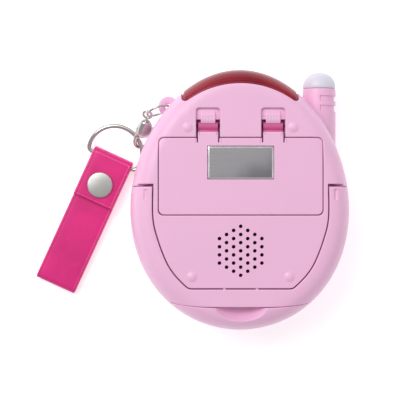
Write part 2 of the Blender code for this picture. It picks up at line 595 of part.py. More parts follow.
def make_power(body):
    tray_y = (-4.4 * MM, 20.4 * MM)
    rings = []
    for inset, z in ((0.0, 13.1), (0.0, 21.1), (1.1, 21.1), (1.1, 13.9)):
        x = (-25.3 * MM + inset * MM, 25.3 * MM - inset * MM)
        rings.append(level(rounded(x, (tray_y[0] + inset * MM, tray_y[1] - inset * MM), 1.0 * MM, 1), z * MM))
    add_object("battery_tray", loft(rings), WHITE, parent=body)
    for name, y in (("upper", 13.45), ("lower", 2.55)):
        cell = []
        for x, radius in ((-22.25, 5.0), (-22.0, 5.25), (21.0, 5.25), (21.2, 1.9), (22.25, 1.9)):
            x = x if name == "upper" else -x
            middle = Vector((x * MM, y * MM, CELL_Z))
            cell.append([middle + Vector((0, math.cos(a), math.sin(a))) * radius * MM for a in angles(20)])
        add_object(f"battery_{name}", loft(cell), BLACK, parent=body)
    add_object("contact_link", box((-23.8 * MM, -23.2 * MM), (-1 * MM, 17 * MM), (14.4 * MM, 20.8 * MM)), STEEL,
               parent=body)
    add_object("contact_tab", box((23.2 * MM, 23.8 * MM), (10 * MM, 17 * MM), (14.4 * MM, 20.8 * MM)), STEEL,
               parent=body)
    turns = []
    for step in range(28):
        a = 2 * math.pi * step / 9
        radius = SPRING_RADIUS
        reach = radius - step * 0.03 * MM
        turns.append(Vector((22.75 * MM + 0.95 * MM * step / 27, 2.55 * MM + reach * math.cos(a),
                             17.4 * MM + reach * math.sin(a))))
    add_object("contact_spring", sweep(turns, circle(0.12 * MM, 5), up=Vector((1, 0, 0))), STEEL, parent=body)
    add_object("speaker", turned([(11.0 * MM, 21.4 * MM), (11.0 * MM, 24.0 * MM)], 28, (0, SPEAKER_Y)), STEEL,
               parent=body)
    add_object("speaker_gasket", turned_ring([(11.0 * MM, 24.2 * MM), (11.0 * MM, 24.95 * MM),
                                              (9.6 * MM, 24.95 * MM), (9.6 * MM, 24.2 * MM)], 28,
                                             (0, SPEAKER_Y)), BLACK, parent=body)
    for number, centre in enumerate(SCREWS, 1):
        screw = turned([(radius * MM, z * MM) for radius, z in SCREW_PROFILE], 12, centre)
        add_object(f"case_screw_{number}", screw, STEEL, parent=body)
        plug = turned([(1.45 * MM, 24.7 * MM), (PLUG_RADIUS, 24.9 * MM), (PLUG_RADIUS, 27.1 * MM),
                       (1.1 * MM, 27.45 * MM), (0.5 * MM, 27.6 * MM)], 16, centre)
        add_object(f"screw_plug_{number}", plug, PINK, parent=body)


def make_ring_and_clasp(body):
    """The jump ring stands on edge through the eyelet; the clasp hangs from its far side."""
    outwards = Vector((math.cos(RING_ANGLE), math.sin(RING_ANGLE), 0.0))
    ring_axis = add_empty("jump_ring_axis", EYELET, body)
    centre = outwards * (RING_RADIUS - 0.1 * MM)
    up = Vector((0, 0, 1))
    path = [centre + (outwards * math.cos(a) + up * math.sin(a)) * RING_RADIUS for a in angles(24)]
    ring = sweep(path, circle(RING_WIRE, 6), True, outwards.cross(up))
    add_object("jump_ring", ring, STEEL, parent=ring_axis)

    eye = EYELET + centre + outwards * RING_RADIUS
    eye_axis = add_empty("swivel_axis", eye, body)
    ahead = (CLASP_HEADING * math.cos(CLASP_TILT) - up * math.sin(CLASP_TILT)).normalized()
    flat_side = CLASP_HEADING.cross(up) * -1
    above = flat_side.cross(ahead) * -1
    side = flat_side * math.cos(CLASP_ROLL) + above * math.sin(CLASP_ROLL)
    normal = side.cross(ahead) * -1
    eye_path = [Vector((EYE_RADIUS * math.cos(a), EYE_RADIUS * math.sin(a), 0)) for a in angles(20)]
    eye_bm = sweep(eye_path, circle(EYE_WIRE, 8), True)
    eye_turn = Matrix((flat_side, ahead, above)).transposed()
    eye_part = add_object("swivel_eye", eye_bm, STEEL, parent=eye_axis, frame=eye_turn)
    neck = [Vector((0, EYE_RADIUS, 0)), Vector((0, 4.6 * MM, 0))]
    apply_tool(eye_part, sweep(neck, circle(0.5 * MM, 10)), "UNION", frame=eye_turn)

    clasp_axis = add_empty("clasp_axis", eye, body)
    turn = Matrix((side, ahead, normal)).transposed()
    # In the clasp's own frame X is across it, Y runs towards the hook and Z is its thickness.
    sections = ((1.0, 1.0, 3.0), (1.6, 1.3, 3.3), (2.2, 1.5, 4.6), (2.9, 1.6, 6.8), (3.1, 1.5, 8.6),
                (2.7, 1.2, 9.8))
    rings = []
    for half_x, half_z, y in sections:
        rings.append([Vector((x, y * MM, z)) for x, z in oval(half_x * MM, half_z * MM, 2.6, 16)])
    clasp = add_object("clasp_body", loft(rings), STEEL, parent=clasp_axis, frame=turn)
    hook = smooth_path([Vector(p) * MM for p in ((-2.1, 8.8, 0), (-2.75, 11.0, 0), (-2.6, 13.6, 0),
                                                (-1.5, 15.5, 0), (0.2, 16.1, 0), (1.8, 15.4, 0),
                                                (2.6, 13.9, 0))], 3)
    apply_tool(clasp, sweep(hook, circle(HOOK_WIRE, 10)), "UNION", frame=turn)
    bore = [Vector((0, 2.5 * MM, 0)), Vector((0, 5.0 * MM, 0))]
    apply_tool(clasp, sweep(bore, circle(0.72 * MM, 12)), frame=turn)
    slot = box((1.3 * MM, 4.4 * MM), (6.6 * MM, 12 * MM), (-0.75 * MM, 0.75 * MM))
    apply_tool(clasp, slot, frame=turn)
    pin_hole = turned([(0.42 * MM, -3 * MM), (0.42 * MM, 3 * MM)], 10, GATE_PIVOT)
    apply_tool(clasp, pin_hole, frame=turn)
    pin = turned([(0.3 * MM, -1.2 * MM), (0.3 * MM, 1.2 * MM)], 10, GATE_PIVOT)
    add_object("gate_pin", pin, STEEL, parent=clasp_axis, frame=turn)
    gate_axis = add_empty("gate_axis", eye + turn @ Vector((GATE_PIVOT[0], GATE_PIVOT[1], 0)), body)
    lever = [(3.0, -0.9), (3.7, -0.2), (3.5, 0.5), (0.95, 1.1), (0.95, 4.9), (0.05, 5.0), (-0.35, 0.6),
             (-0.4, -0.9)]
    gate = prism([(x * MM, y * MM) for x, y in lever], -GATE_HALF_THICKNESS, GATE_HALF_THICKNESS)
    gate_part = add_object("clasp_gate", gate, STEEL, parent=gate_axis, frame=turn)
    apply_tool(gate_part, turned([(0.45 * MM, -2 * MM), (0.45 * MM, 2 * MM)], 10), frame=turn)


def strap_frame():
    """Columns are down the strap, across it and up."""
    up = Vector((0, 0, 1))
    across = Vector((-STRAP_DOWN.y, STRAP_DOWN.x, 0.0))
    return Matrix((STRAP_DOWN, across, up)).transposed()


def make_d_ring(body):
    turn = strap_frame() @ Matrix.Rotation(D_RING_TILT, 3, "Y")
    points = []
    start = math.radians(-8.0)
    for step in range(23):
        a = start + (math.pi - 2 * start) * step / 22
        points.append(Vector((-D_RING_BAR - D_RING_RADIUS * math.sin(a), D_RING_RADIUS * math.cos(a), 0)))
    corner = math.sqrt(D_RING_RADIUS ** 2 - D_RING_BAR ** 2)
    bar_end = 7.7 * MM
    for side in (-1, 1):
        edge = Vector((-D_RING_BAR - D_RING_RADIUS * math.sin(start), side * D_RING_RADIUS * math.cos(start), 0))
        knee = Vector((0, side * corner, 0))
        bar = Vector((0, side * bar_end, 0))
        curve = [edge * (1 - t) ** 2 + knee * 2 * t * (1 - t) + bar * t * t for t in (0.3, 0.6, 1.0)]
        points += curve if side < 0 else curve[::-1]
    axis = add_empty("d_ring_axis", BAR_CENTRE, body)
    add_object("d_ring", sweep(points, circle(D_RING_WIRE, 10), True), STEEL, parent=axis, frame=turn)


def make_strap(body):
    """One band: up the back, round the D-ring's bar and down again as a flap that snaps shut."""
    axis = add_empty("strap_axis", BAR_CENTRE, body)
    turn = strap_frame()
    half = STRAP_THICKNESS / 2
    back_z, front_z, flap_z = BACK_LAYER_Z, FRONT_LAYER_Z, FLAP_LAYER_Z
    path = [Vector((2.4 * MM, 0, front_z)), Vector((12 * MM, 0, front_z)), Vector((30 * MM, 0, front_z))]
    bend = (front_z - back_z) / 2
    bend_u = STRAP_END - bend - half
    for step in range(9):
        a = math.radians(90 - 22.5 * step)
        path.append(Vector((bend_u + bend * math.cos(a), 0, (front_z + back_z) / 2 + bend * math.sin(a))))
    path += [Vector((30 * MM, 0, back_z)), Vector((12 * MM, 0, back_z))]
    for step in range(9):
        a = math.radians(270 - 22.5 * step)
        path.append(Vector((flap_z * math.cos(a), 0, flap_z * math.sin(a))))
    across = Vector((0, 1, 0))
    edge = STRAP_WIDTH / 2
    ribbon = [(-half, -edge), (-half, edge), (half, edge), (half, -edge)]
    band = add_object("strap_band", sweep(path, ribbon, up=across), STRAP, parent=axis, frame=turn)
    stud_hole = turned([(1.5 * MM, -0.9 * MM), (1.5 * MM, 3 * MM)], 12, (SNAP_U, 0))
    apply_tool(band, stud_hole, frame=turn)
    stud = turned([(2.8 * MM, -0.98 * MM), (2.8 * MM, -0.58 * MM), (1.15 * MM, -0.58 * MM), (1.15 * MM, 1.5 * MM),
                   (0.9 * MM, 1.9 * MM)], 16, (SNAP_U, 0))
    add_object("snap_stud", stud, STEEL, parent=axis, frame=turn)
    flap_path = [Vector((0.35 * MM, 0, flap_z)), Vector((6 * MM, 0, flap_z)), Vector((FLAP_END, 0, flap_z))]
    flap = add_object("strap_flap", sweep(flap_path, ribbon, up=across), STRAP, parent=axis, frame=turn)
    apply_tool(flap, turned([(2.6 * MM, 0), (2.6 * MM, 4 * MM)], 16, (SNAP_U, 0)), frame=turn)
    socket = turned_ring([(2.3 * MM, 1.3 * MM), (2.3 * MM, 2.35 * MM), (1.5 * MM, 2.35 * MM), (1.5 * MM, 1.3 * MM)],
                         16, (SNAP_U, 0))
    add_object("snap_socket", socket, STEEL, parent=axis, frame=turn)
    cap = turned([(4.0 * MM, 2.55 * MM), (4.55 * MM, 2.75 * MM), (4.45 * MM, 3.05 * MM), (3.5 * MM, 3.55 * MM),
                  (2.0 * MM, 3.85 * MM), (0.7 * MM, 3.95 * MM)], 28, (SNAP_U, 0))
    add_object("snap_cap", cap, STEEL, parent=axis, frame=turn)


def main():
    clear_scene()
    body = add_empty("body_centre", BODY_CENTRE)
    make_front_shell(body)
    make_back_shell(body)
    make_stand(body)
    make_door(body)
    make_top_edge(body)
    make_front(body)
    make_power(body)
    make_ring_and_clasp(body)
    make_d_ring(body)
    make_strap(body)


main()
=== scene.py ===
# %% [markdown]
# # A virtual pet keychain, seen from its back
# The toy lies on its face on a white table, with its ring, clasp and snapped strap beside it. The packed
# frame already holds every part in its place and on its joint. This lesson keeps the frame's sizes and
# gives each visible part the surface that the moulded and pressed one has.

# %% Load the frame and keep its box
import math

import bmesh
import bpy
import numpy as np
from mathutils import Matrix, Vector


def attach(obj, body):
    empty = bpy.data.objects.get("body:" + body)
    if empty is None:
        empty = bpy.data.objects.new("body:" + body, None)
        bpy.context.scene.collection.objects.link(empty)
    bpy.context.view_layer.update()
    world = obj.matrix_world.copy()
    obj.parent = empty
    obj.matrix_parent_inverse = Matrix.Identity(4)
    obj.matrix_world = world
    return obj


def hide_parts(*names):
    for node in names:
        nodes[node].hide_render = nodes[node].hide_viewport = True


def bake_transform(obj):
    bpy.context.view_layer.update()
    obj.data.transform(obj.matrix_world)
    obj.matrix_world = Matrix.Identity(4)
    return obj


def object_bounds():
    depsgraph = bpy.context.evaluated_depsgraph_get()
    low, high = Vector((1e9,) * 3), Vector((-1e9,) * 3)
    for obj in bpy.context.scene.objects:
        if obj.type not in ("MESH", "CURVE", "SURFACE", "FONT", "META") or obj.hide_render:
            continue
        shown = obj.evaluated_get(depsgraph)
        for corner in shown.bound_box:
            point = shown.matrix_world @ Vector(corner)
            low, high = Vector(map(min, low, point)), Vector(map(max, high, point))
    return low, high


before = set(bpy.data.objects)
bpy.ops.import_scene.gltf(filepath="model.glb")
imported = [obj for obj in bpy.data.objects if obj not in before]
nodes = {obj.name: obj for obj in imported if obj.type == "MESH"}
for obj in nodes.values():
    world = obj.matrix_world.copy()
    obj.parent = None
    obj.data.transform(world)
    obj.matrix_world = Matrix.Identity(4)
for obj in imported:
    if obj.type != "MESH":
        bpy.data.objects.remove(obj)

MM = 0.001
TOY = Vector((17.356, 0.0, 0.0)) * MM
cad_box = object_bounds()
print("frame box in mm:", [[round(v / MM, 2) for v in corner] for corner in cad_box])

# %% [markdown]
# ## The camera
# A packshot of a small toy is taken from straight above with a long lens, so that its sides hardly show.
# The camera hangs over a point a little to the left of the toy, because the strap lies on that side.

# %% Camera
CAMERA_AT = Vector((3.64, -0.07, 395.0)) * MM
camera_data = bpy.data.cameras.new("camera")
camera_data.lens = 98.4
camera_data.sensor_width = 36.0
camera_data.clip_start = 0.01
camera = bpy.data.objects.new("camera", camera_data)
camera.location = CAMERA_AT
bpy.context.scene.collection.objects.link(camera)
bpy.context.scene.camera = camera
print("camera height in mm:", round(CAMERA_AT.z / MM))

# %% [markdown]
# ## Writing a finish as arithmetic
# A finish is a network of nodes. Joined by hand it is long and hard to read, so one small class wraps a
# socket and gives it Python's operators. Then a mask can be written as `1 - wear * 0.5`.


# %% A socket with arithmetic
class Value:
    def __init__(self, finish, socket):
        self.finish, self.socket = finish, socket

    def maths(self, operation, *others):
        return self.finish.node("ShaderNodeMath", {"operation": operation}, self, *others)

    def __add__(self, other): return self.maths("ADD", other)
    def __radd__(self, other): return self.maths("ADD", other)
    def __sub__(self, other): return self.maths("SUBTRACT", other)
    def __mul__(self, other): return self.maths("MULTIPLY", other)
    def __rmul__(self, other): return self.maths("MULTIPLY", other)

    def __rsub__(self, other):
        return self.finish.node("ShaderNodeMath", {"operation": "SUBTRACT"}, other, self)

    def between(self, low, high):
        """Runs from 0 at low to 1 at high, with soft ends."""
        settings = {"interpolation_type": "SMOOTHSTEP"}
        return self.finish.node("ShaderNodeMapRange", settings, Value=self,
                                **{"From Min": low, "From Max": high})


class Finish:
    """One material: its shader, and the nodes that feed it."""

    def __init__(self, name, **uniform):
        self.material = bpy.data.materials.new(name)
        self.material.use_nodes = True
        self.tree = self.material.node_tree
        self.shader = self.tree.nodes["Principled BSDF"]
        for socket, value in uniform.items():
            self.shader.inputs[socket.replace("_", " ").title().replace("Ior", "IOR")].default_value = value

    def node(self, kind, settings=None, *values, output=0, **named):
        """Any node: its type, its settings, then the values or links of its sockets in order or by name."""
        made = self.tree.nodes.new(kind)
        for key, value in (settings or {}).items():
            setattr(made, key, value)
        for key, value in list(enumerate(values)) + list(named.items()):
            socket = made.inputs[key]
            if isinstance(value, Value):
                self.tree.links.new(value.socket, socket)
            else:
                socket.default_value = value
        return Value(self, made.outputs[output])

    def place(self, stretch=(1, 1, 1), turn=0.0, centre=(0, 0, 0)):
        """Object coordinates, moved to a centre, turned about Z and stretched."""
        spot = self.node("ShaderNodeTexCoord", output="Object")
        moved = self.node("ShaderNodeVectorMath", {"operation": "SUBTRACT"}, spot, tuple(centre))
        return self.node("ShaderNodeMapping", {"vector_type": "POINT"}, Vector=moved,
                         Rotation=(0, 0, turn), Scale=stretch)

    def noise(self, scale, detail=2.0, roughness=0.5, at=None):
        return self.node("ShaderNodeTexNoise", None, Vector=at or self.place(), Scale=scale, Detail=detail,
                         Roughness=roughness)

    def blend(self, factor, first, second):
        settings = {"data_type": "RGBA"}
        made = self.node("ShaderNodeMix", settings, output=2)
        mix = made.socket.node
        for index, value in ((0, factor), (6, first), (7, second)):
            if isinstance(value, Value):
                self.tree.links.new(value.socket, mix.inputs[index])
            else:
                mix.inputs[index].default_value = value
        return made

    def feed(self, **sockets):
        for name, value in sockets.items():
            self.tree.links.new(value.socket, self.shader.inputs[name.replace("_", " ")])
        return self

    def bump(self, height, depth, strength):
        return self.node("ShaderNodeBump", None, Height=height, Distance=depth, Strength=strength)


def rgb(red, green, blue):
    """A colour as it is mixed for screens, in the linear values that a shader takes."""
    def linear(channel):
        share = channel / 255
        return share / 12.92 if share <= 0.04045 else ((share + 0.055) / 1.055) ** 2.4
    return (linear(red), linear(green), linear(blue), 1.0)


def shade(colour, amount):
    return tuple(channel * amount for channel in colour[:3]) + (1.0,)


# %% [markdown]
# ## Moulded plastic
# The casing is a solid-coloured ABS. Its mould was spark-eroded, which leaves a fine satin grain: too
# small to see as dots, but it spreads every highlight. Handling polishes it unevenly, so the roughness
# drifts over a few millimetres, and the pigment has a faint flow mottle.


# %% Moulded plastic
def moulded(name, colour, roughness, grain=0.012, mottle=0.02):
    made = Finish(name, ior=1.5)
    flow = made.noise(90.0, 3.0, 0.5)
    handled = made.noise(260.0, 4.0, 0.55).between(0.42, 0.7)
    spark = made.noise(5200.0, 2.0, 0.6)
    tone = made.blend(flow, shade(colour, 1.0 - mottle), shade(colour, 1.0 + mottle))
    made.feed(Base_Color=tone, Roughness=roughness + 0.06 * handled + 0.03 * spark,
              Normal=made.bump(spark, grain * MM, 0.6))
    return made.material


PINK = rgb(242, 188, 222)
pink_plastic = moulded("pink plastic", PINK, 0.36)
pale_plastic = moulded("pale tip plastic", rgb(222, 219, 231), 0.32)
# Painted shade: a darker, more saturated copy of the casing pink for the hinge barrels. It stands in for the
# shadow and pink bounce light deep in the hinge wells.
painted_shade_plastic = moulded("painted shade pink plastic", rgb(206, 92, 146), 0.4)
white_plastic = moulded("white plastic", rgb(236, 233, 238), 0.33)
tray_plastic = moulded("tray plastic", rgb(216, 176, 202), 0.45)
black_plastic = moulded("black plastic", rgb(18, 15, 18), 0.6)
rubber = moulded("button rubber", rgb(196, 194, 190), 0.62, 0.03)
print("moulded finishes:", [m.name for m in bpy.data.materials if "plastic" in m.name])

# %% [markdown]
# ## Clear red window
# The infra-red window is tinted clear plastic over a dark inside. Light that enters it is soaked up, so
# it looks deep red with a soft gloss. An opaque dark red that reflects little gives the same look and
# costs far less to render than true refraction.

# %% Red window
window_red = Finish("red window", ior=1.4, specular_ior_level=0.3)
depth_noise = window_red.noise(60.0, 2.0, 0.4)
window_red.feed(Base_Color=window_red.blend(depth_noise.between(0.3, 0.7), rgb(130, 27, 43),
                                            rgb(154, 40, 57)),
                Roughness=0.2 + 0.08 * window_red.noise(700.0, 3.0, 0.5),
                Normal=window_red.bump(window_red.noise(300.0, 1.0, 0.4), 0.01 * MM, 0.5))
red_window = window_red.material

# %% [markdown]
# ## Metals
# Nickel plating is bright but never perfect: the polishing under it leaves fine lines and a slight
# waviness, and fingers dull it in patches. The plate on the door is brushed in one direction, so its
# lines run along X. Its colour drifts slowly at random, and painted shade darkens it from the upper-left
# corner to the lower right.


# %% Plated and brushed metal
def metal(name, colour, roughness, cut=0.004):
    made = Finish(name, metallic=1.0, ior=1.8)
    polished = made.noise(900.0, 3.0, 0.6)
    touched = made.noise(170.0, 3.0, 0.5).between(0.4, 0.72)
    tone = made.blend(touched, colour, shade(colour, 0.88))
    made.feed(Base_Color=tone, Roughness=roughness + 0.1 * touched + 0.05 * polished,
              Normal=made.bump(polished, cut * MM, 0.5))
    return made.material


nickel = metal("nickel plating", rgb(202, 198, 195), 0.16)
satin_nickel = metal("satin snap cap", rgb(206, 204, 200), 0.3, cut=0.006)
steel = metal("bright steel", rgb(176, 176, 178), 0.25, cut=0.008)
# Painted shade: the hinge pins and stand pivots are made near-black so that, where they cross their slots,
# they sink into the slots' shade instead of glinting.
dark_steel = metal("steel darkened as painted shade", rgb(58, 46, 54), 0.5)
# Partly painted highlight: the plate's polished bevel is given a much brighter metal colour than its face, so
# that it shines as a frame.
polished_edge_highlight = metal("polished plate edge highlight", rgb(236, 234, 233), 0.2)


def plate_finish():
    """Brushed along X, with a slow random tone, and painted shade that darkens it from the upper-left corner
    to the lower right.
    """
    made = Finish("brushed plate", metallic=1.0, ior=1.8)
    place = made.place((1, 1, 1), centre=TOY + Vector((0.0, 12.5, 27.0)) * MM)
    # Painted shade: this slope makes the plate darker towards its lower right, as if the light fell off
    # across it.
    corner = made.node("ShaderNodeVectorMath", {"operation": "DOT_PRODUCT"}, place, (30.0, -60.0, 0.0),
                       output="Value") + 0.5
    lines = made.noise(2600.0, 3.0, 0.6, made.place((0.03, 1, 1)))
    cloud = made.noise(110.0, 2.0)
    shade_and_tone = corner + 0.5 * cloud - 0.25
    made.feed(Base_Color=made.blend(shade_and_tone.between(0.45, 1.05), rgb(182, 180, 184), rgb(142, 139, 147)),
              Roughness=0.3 + 0.08 * lines, Normal=made.bump(lines, 0.012 * MM, 0.5))
    return made.material


brushed_plate = plate_finish()
spring_steel = metal("spring steel", rgb(190, 184, 170), 0.28)
print("metals:", [nickel.name, satin_nickel.name, steel.name, brushed_plate.name])

# %% [markdown]
# ## Strap leather
# The strap is a synthetic leather: a woven core under a thick glossy skin of magenta polyurethane. Its
# skin has a very fine calf-like grain, is a little darker in patches where it was pressed, and
# shows soft long reflections.

# %% Glossy magenta leather
strap_skin = Finish("magenta leather", ior=1.5, coat_weight=0.35, coat_roughness=0.16)
grain_cells = strap_skin.node("ShaderNodeTexVoronoi", {"feature": "F1"}, Vector=strap_skin.place(),
                              Scale=2600.0)
pressed = strap_skin.noise(120.0, 4.0, 0.5)
STRAP_PINK = rgb(223, 26, 126)
strap_skin.feed(Base_Color=strap_skin.blend(pressed.between(0.35, 0.7), shade(STRAP_PINK, 0.9),
                                            shade(STRAP_PINK, 1.05)),
                Roughness=0.27 + 0.07 * pressed + 0.05 * grain_cells,
                Normal=strap_skin.bump(grain_cells, 0.01 * MM, 0.35))
strap_leather = strap_skin.material

# %% [markdown]
# ## Screen, lens and board
# The screen is a plain grey-green LCD, switched off, with the faint grid of its dots. The board is green
# solder resist, mottled where copper lies under it.


# %% Screen and board
def dotted_screen():
    made = Finish("switched-off screen", ior=1.5, coat_weight=0.5, coat_roughness=0.08)
    grid = made.place((1, 1, 1))
    rows = made.node("ShaderNodeTexWave", {"bands_direction": "Y"}, Vector=grid, Scale=260.0)
    columns = made.node("ShaderNodeTexWave", {"bands_direction": "X"}, Vector=grid, Scale=260.0)
    dots = (rows * columns).between(0.3, 0.75)
    made.feed(Base_Color=made.blend(dots, rgb(176, 184, 162), rgb(164, 172, 150)),
              Roughness=0.22 + 0.06 * made.noise(400.0))
    return made.material


def clear_lens():
    made = Finish("clear lens", ior=1.49, transmission_weight=0.92)
    haze = made.noise(350.0, 3.0)
    made.feed(Roughness=0.04 + 0.05 * haze,
              Base_Color=made.blend(haze, rgb(250, 250, 252), rgb(240, 242, 246)))
    return made.material


def solder_resist():
    made = Finish("circuit board", ior=1.5, coat_weight=0.3, coat_roughness=0.2)
    copper = made.node("ShaderNodeTexBrick", None, Vector=made.place((1, 1, 1), 0.4), Scale=240.0,
                       output="Fac").between(0.4, 0.6)
    made.feed(Base_Color=made.blend(copper, rgb(22, 84, 50), rgb(30, 106, 62)),
              Roughness=0.34 + 0.1 * made.noise(500.0), Normal=made.bump(copper, 0.03 * MM, 0.5))
    return made.material


screen_grey, lens_clear, board_green = dotted_screen(), clear_lens(), solder_resist()

# %% [markdown]
# ## Every part of the frame gets a real finish
# The parts inside, such as the board, the cells and the contacts, are the frame's own shapes. They show
# only when the door is open, but each has the finish that its material would have.

# %% Finishes for the frame's own parts
FRAME_FINISHES = {
    pink_plastic: ("front_shell", "back_shell", "rear_stand", "battery_door", "aerial_stem", "screw_plug_1",
                   "screw_plug_2", "screw_plug_3", "screw_plug_4"),
    pale_plastic: ("aerial_tip",),
    red_window: ("infrared_window",),
    tray_plastic: ("battery_tray",),
    white_plastic: ("screen_surround", "lcd_holder", "button_left", "button_middle", "button_right"),
    rubber: ("button_mat", "lcd_connector", "speaker_gasket"),
    black_plastic: ("battery_upper", "battery_lower", "potted_controller", "infrared_module", "speaker"),
    steel: ("case_screw_1", "case_screw_2", "case_screw_3", "case_screw_4", "contact_link", "contact_tab",
            "snap_stud", "snap_socket"),
    # The pins' dark steel is painted shade for their slots.
    dark_steel: ("hinge_pin_left", "hinge_pin_right", "stand_pivot_left", "stand_pivot_right"),
    spring_steel: ("contact_spring",),
    nickel: ("jump_ring", "swivel_eye", "clasp_body", "clasp_gate", "gate_pin", "d_ring"),
    satin_nickel: ("snap_cap",),
    brushed_plate: ("door_plate",),
    strap_leather: ("strap_band", "strap_flap"),
    screen_grey: ("lcd_glass",),
    lens_clear: ("screen_lens",),
    board_green: ("circuit_board",),
}
for material, names in FRAME_FINISHES.items():
    for name in names:
        nodes[name].data.materials.clear()
        nodes[name].data.materials.append(material)
print("frame parts given a finish:", sum(len(names) for names in FRAME_FINISHES.values()), "of", len(nodes))

# %% [markdown]
# ## The egg as a wrapped sheet
# The door, the stand and the casing round them are all cut from one egg-shaped surface, with a fine even
# gap between them. The easiest way to get even gaps and softly rounded edges is a tailor's: draw each
# panel as a flat pattern, round its edges while it is flat, and then wrap the pattern over the egg.
# A profile says how the surface falls from the flat of the back, over the rim, to the other side.

# %% The egg and its profile
HALF_WIDTH, HALF_LENGTH, TAPER = 37.8, 45.0, 0.08
PARTING, BACK_TOP, FACE_LOW = 13.0, 27.0, 1.2
RIM, RIM_POWER, DOME_POWER, DOME_FULLNESS, DOME_END = 8.0, 2.6, 2.6, 2.2, 0.45


def profile_back():
    """Half width, half length and height, from the flat of the back out to the parting line."""
    angle = np.linspace(math.pi / 2, 0.0, 600)
    across = 1 - np.cos(angle).clip(0) ** (2 / RIM_POWER)
    height = PARTING + (BACK_TOP - PARTING) * np.sin(angle) ** (2 / RIM_POWER)
    return HALF_WIDTH - RIM * across, HALF_LENGTH - RIM * across, height


def profile_front():
    """The same for the front, from the parting line in to its flat."""
    scale = 1 - (1 - DOME_END) * np.linspace(0.0, 1.0, 600) ** 1.6
    drop = (1 - scale.clip(0, 1) ** DOME_POWER) ** (1 / DOME_FULLNESS)
    return HALF_WIDTH * scale, HALF_LENGTH * scale, PARTING - (PARTING - FACE_LOW) * drop


class Wrap:
    """Carries flat pattern points (millimetres) onto the egg; below the surface a point has depth."""

    def __init__(self, half_x, half_y, height):
        reach = (half_x + half_y) / 2
        step = np.hypot(np.diff(reach), np.diff(height))
        self.along = np.concatenate([[0.0], np.cumsum(step)])
        self.half_x, self.half_y, self.height = half_x, half_y, height
        run, fall = np.gradient(reach, self.along), np.gradient(height, self.along)
        size = np.hypot(run, fall)
        facing = math.copysign(1.0, height[0] - height[-1])
        self.out, self.up = -facing * fall / size, facing * run / size
        self.length = self.along[-1]

    def ring(self, s, angle):
        """The flat pattern's point at s along the profile, at an angle round the egg."""
        return ((self.half_x[0] + s) * math.cos(angle) * (1 - TAPER * math.sin(angle)),
                (self.half_y[0] + s) * math.sin(angle))

    def find(self, x, y, half_x, half_y):
        """How far out a point lies, and its angle, where half_x and half_y give the rings' sizes."""
        low, high = np.zeros(len(x)), np.full(len(x), self.length)
        for _ in range(36):
            middle = (low + high) / 2
            sine = (y / half_y(middle)).clip(-1, 1)
            reach = (x / (half_x(middle) * (1 - TAPER * sine))) ** 2 + (y / half_y(middle)) ** 2
            outside = reach > 1
            low, high = np.where(outside, middle, low), np.where(outside, high, middle)
        sine = (y / half_y(middle)).clip(-1, 1)
        return middle, np.arctan2(sine, x / (half_x(middle) * (1 - TAPER * sine)))

    def flatten(self, points):
        """Points in plan, as places on the flat pattern."""
        x, y = np.array(points, float).T
        inside = (x / (self.half_x[0] * (1 - TAPER * (y / self.half_y[0]).clip(-1, 1)))) ** 2 \
            + (y / self.half_y[0]) ** 2 <= 1
        s, angle = self.find(x, y, lambda v: np.interp(v, self.along, self.half_x),
                             lambda v: np.interp(v, self.along, self.half_y))
        flat = [(px, py) if keep else self.ring(sv, av)
                for px, py, keep, sv, av in zip(x, y, inside, s, angle)]
        return [tuple(map(float, point)) for point in flat]

    def carry(self, flat):
        """Flat points (u, v, depth) in millimetres to places on the egg."""
        u, v, depth = np.array(flat, float).T
        sine0 = (v / self.half_y[0]).clip(-1, 1)
        inside = (u / (self.half_x[0] * (1 - TAPER * sine0))) ** 2 + (v / self.half_y[0]) ** 2 <= 1
        s, angle = self.find(u, v, lambda w: self.half_x[0] + w, lambda w: self.half_y[0] + w)
        half_x, half_y, height, out, up = (np.interp(s, self.along, table) for table in
                                           (self.half_x, self.half_y, self.height, self.out, self.up))
        lean_x, lean_y = np.cos(angle) / half_x, np.sin(angle) / half_y
        size = np.hypot(lean_x, lean_y)
        x = half_x * np.cos(angle) * (1 - TAPER * np.sin(angle)) + depth * out * lean_x / size
        y = half_y * np.sin(angle) + depth * out * lean_y / size
        z = height + depth * up
        flat_up = math.copysign(1.0, self.up[0])
        return np.column_stack([np.where(inside, u, x), np.where(inside, v, y),
                                np.where(inside, self.height[0] + depth * flat_up, z)])


back = Wrap(*profile_back())
front = Wrap(*[table[::-1] for table in profile_front()])
print("profile lengths in mm: back", round(back.length, 2), "front", round(front.length, 2))

# %% [markdown]
# ## Patterns with rounded edges
# A pattern is an outer outline and the outlines of its holes. Each outline gets a few rings close to the
# edge that roll down a quarter circle, as the radius on a moulded edge does. The space between is filled
# and then cut by a grid of planes, so that it can bend.


# %% Outlines and patterns
MERGE, SHARP = 1e-7, 38.0
BMVert, BMEdge, BMFace = bmesh.types.BMVert, bmesh.types.BMEdge, bmesh.types.BMFace


def pick(items, kind):
    """The items of one kind among the vertices, edges and faces that an operator returns."""
    return [item for item in items if isinstance(item, kind)]


def resample(points, gap):
    """A closed outline with points about a gap apart, its corners kept."""
    made = []
    for index, point in enumerate(points):
        after = points[(index + 1) % len(points)]
        span = math.hypot(after[0] - point[0], after[1] - point[1])
        count = max(1, round(span / gap))
        made += [(point[0] + (after[0] - point[0]) * k / count, point[1] + (after[1] - point[1]) * k / count)
                 for k in range(count)]
    return made


def signed_area(points):
    p = np.array(points)
    q = np.roll(p, -1, 0)
    return float((p[:, 0] * q[:, 1] - q[:, 0] * p[:, 1]).sum() / 2)


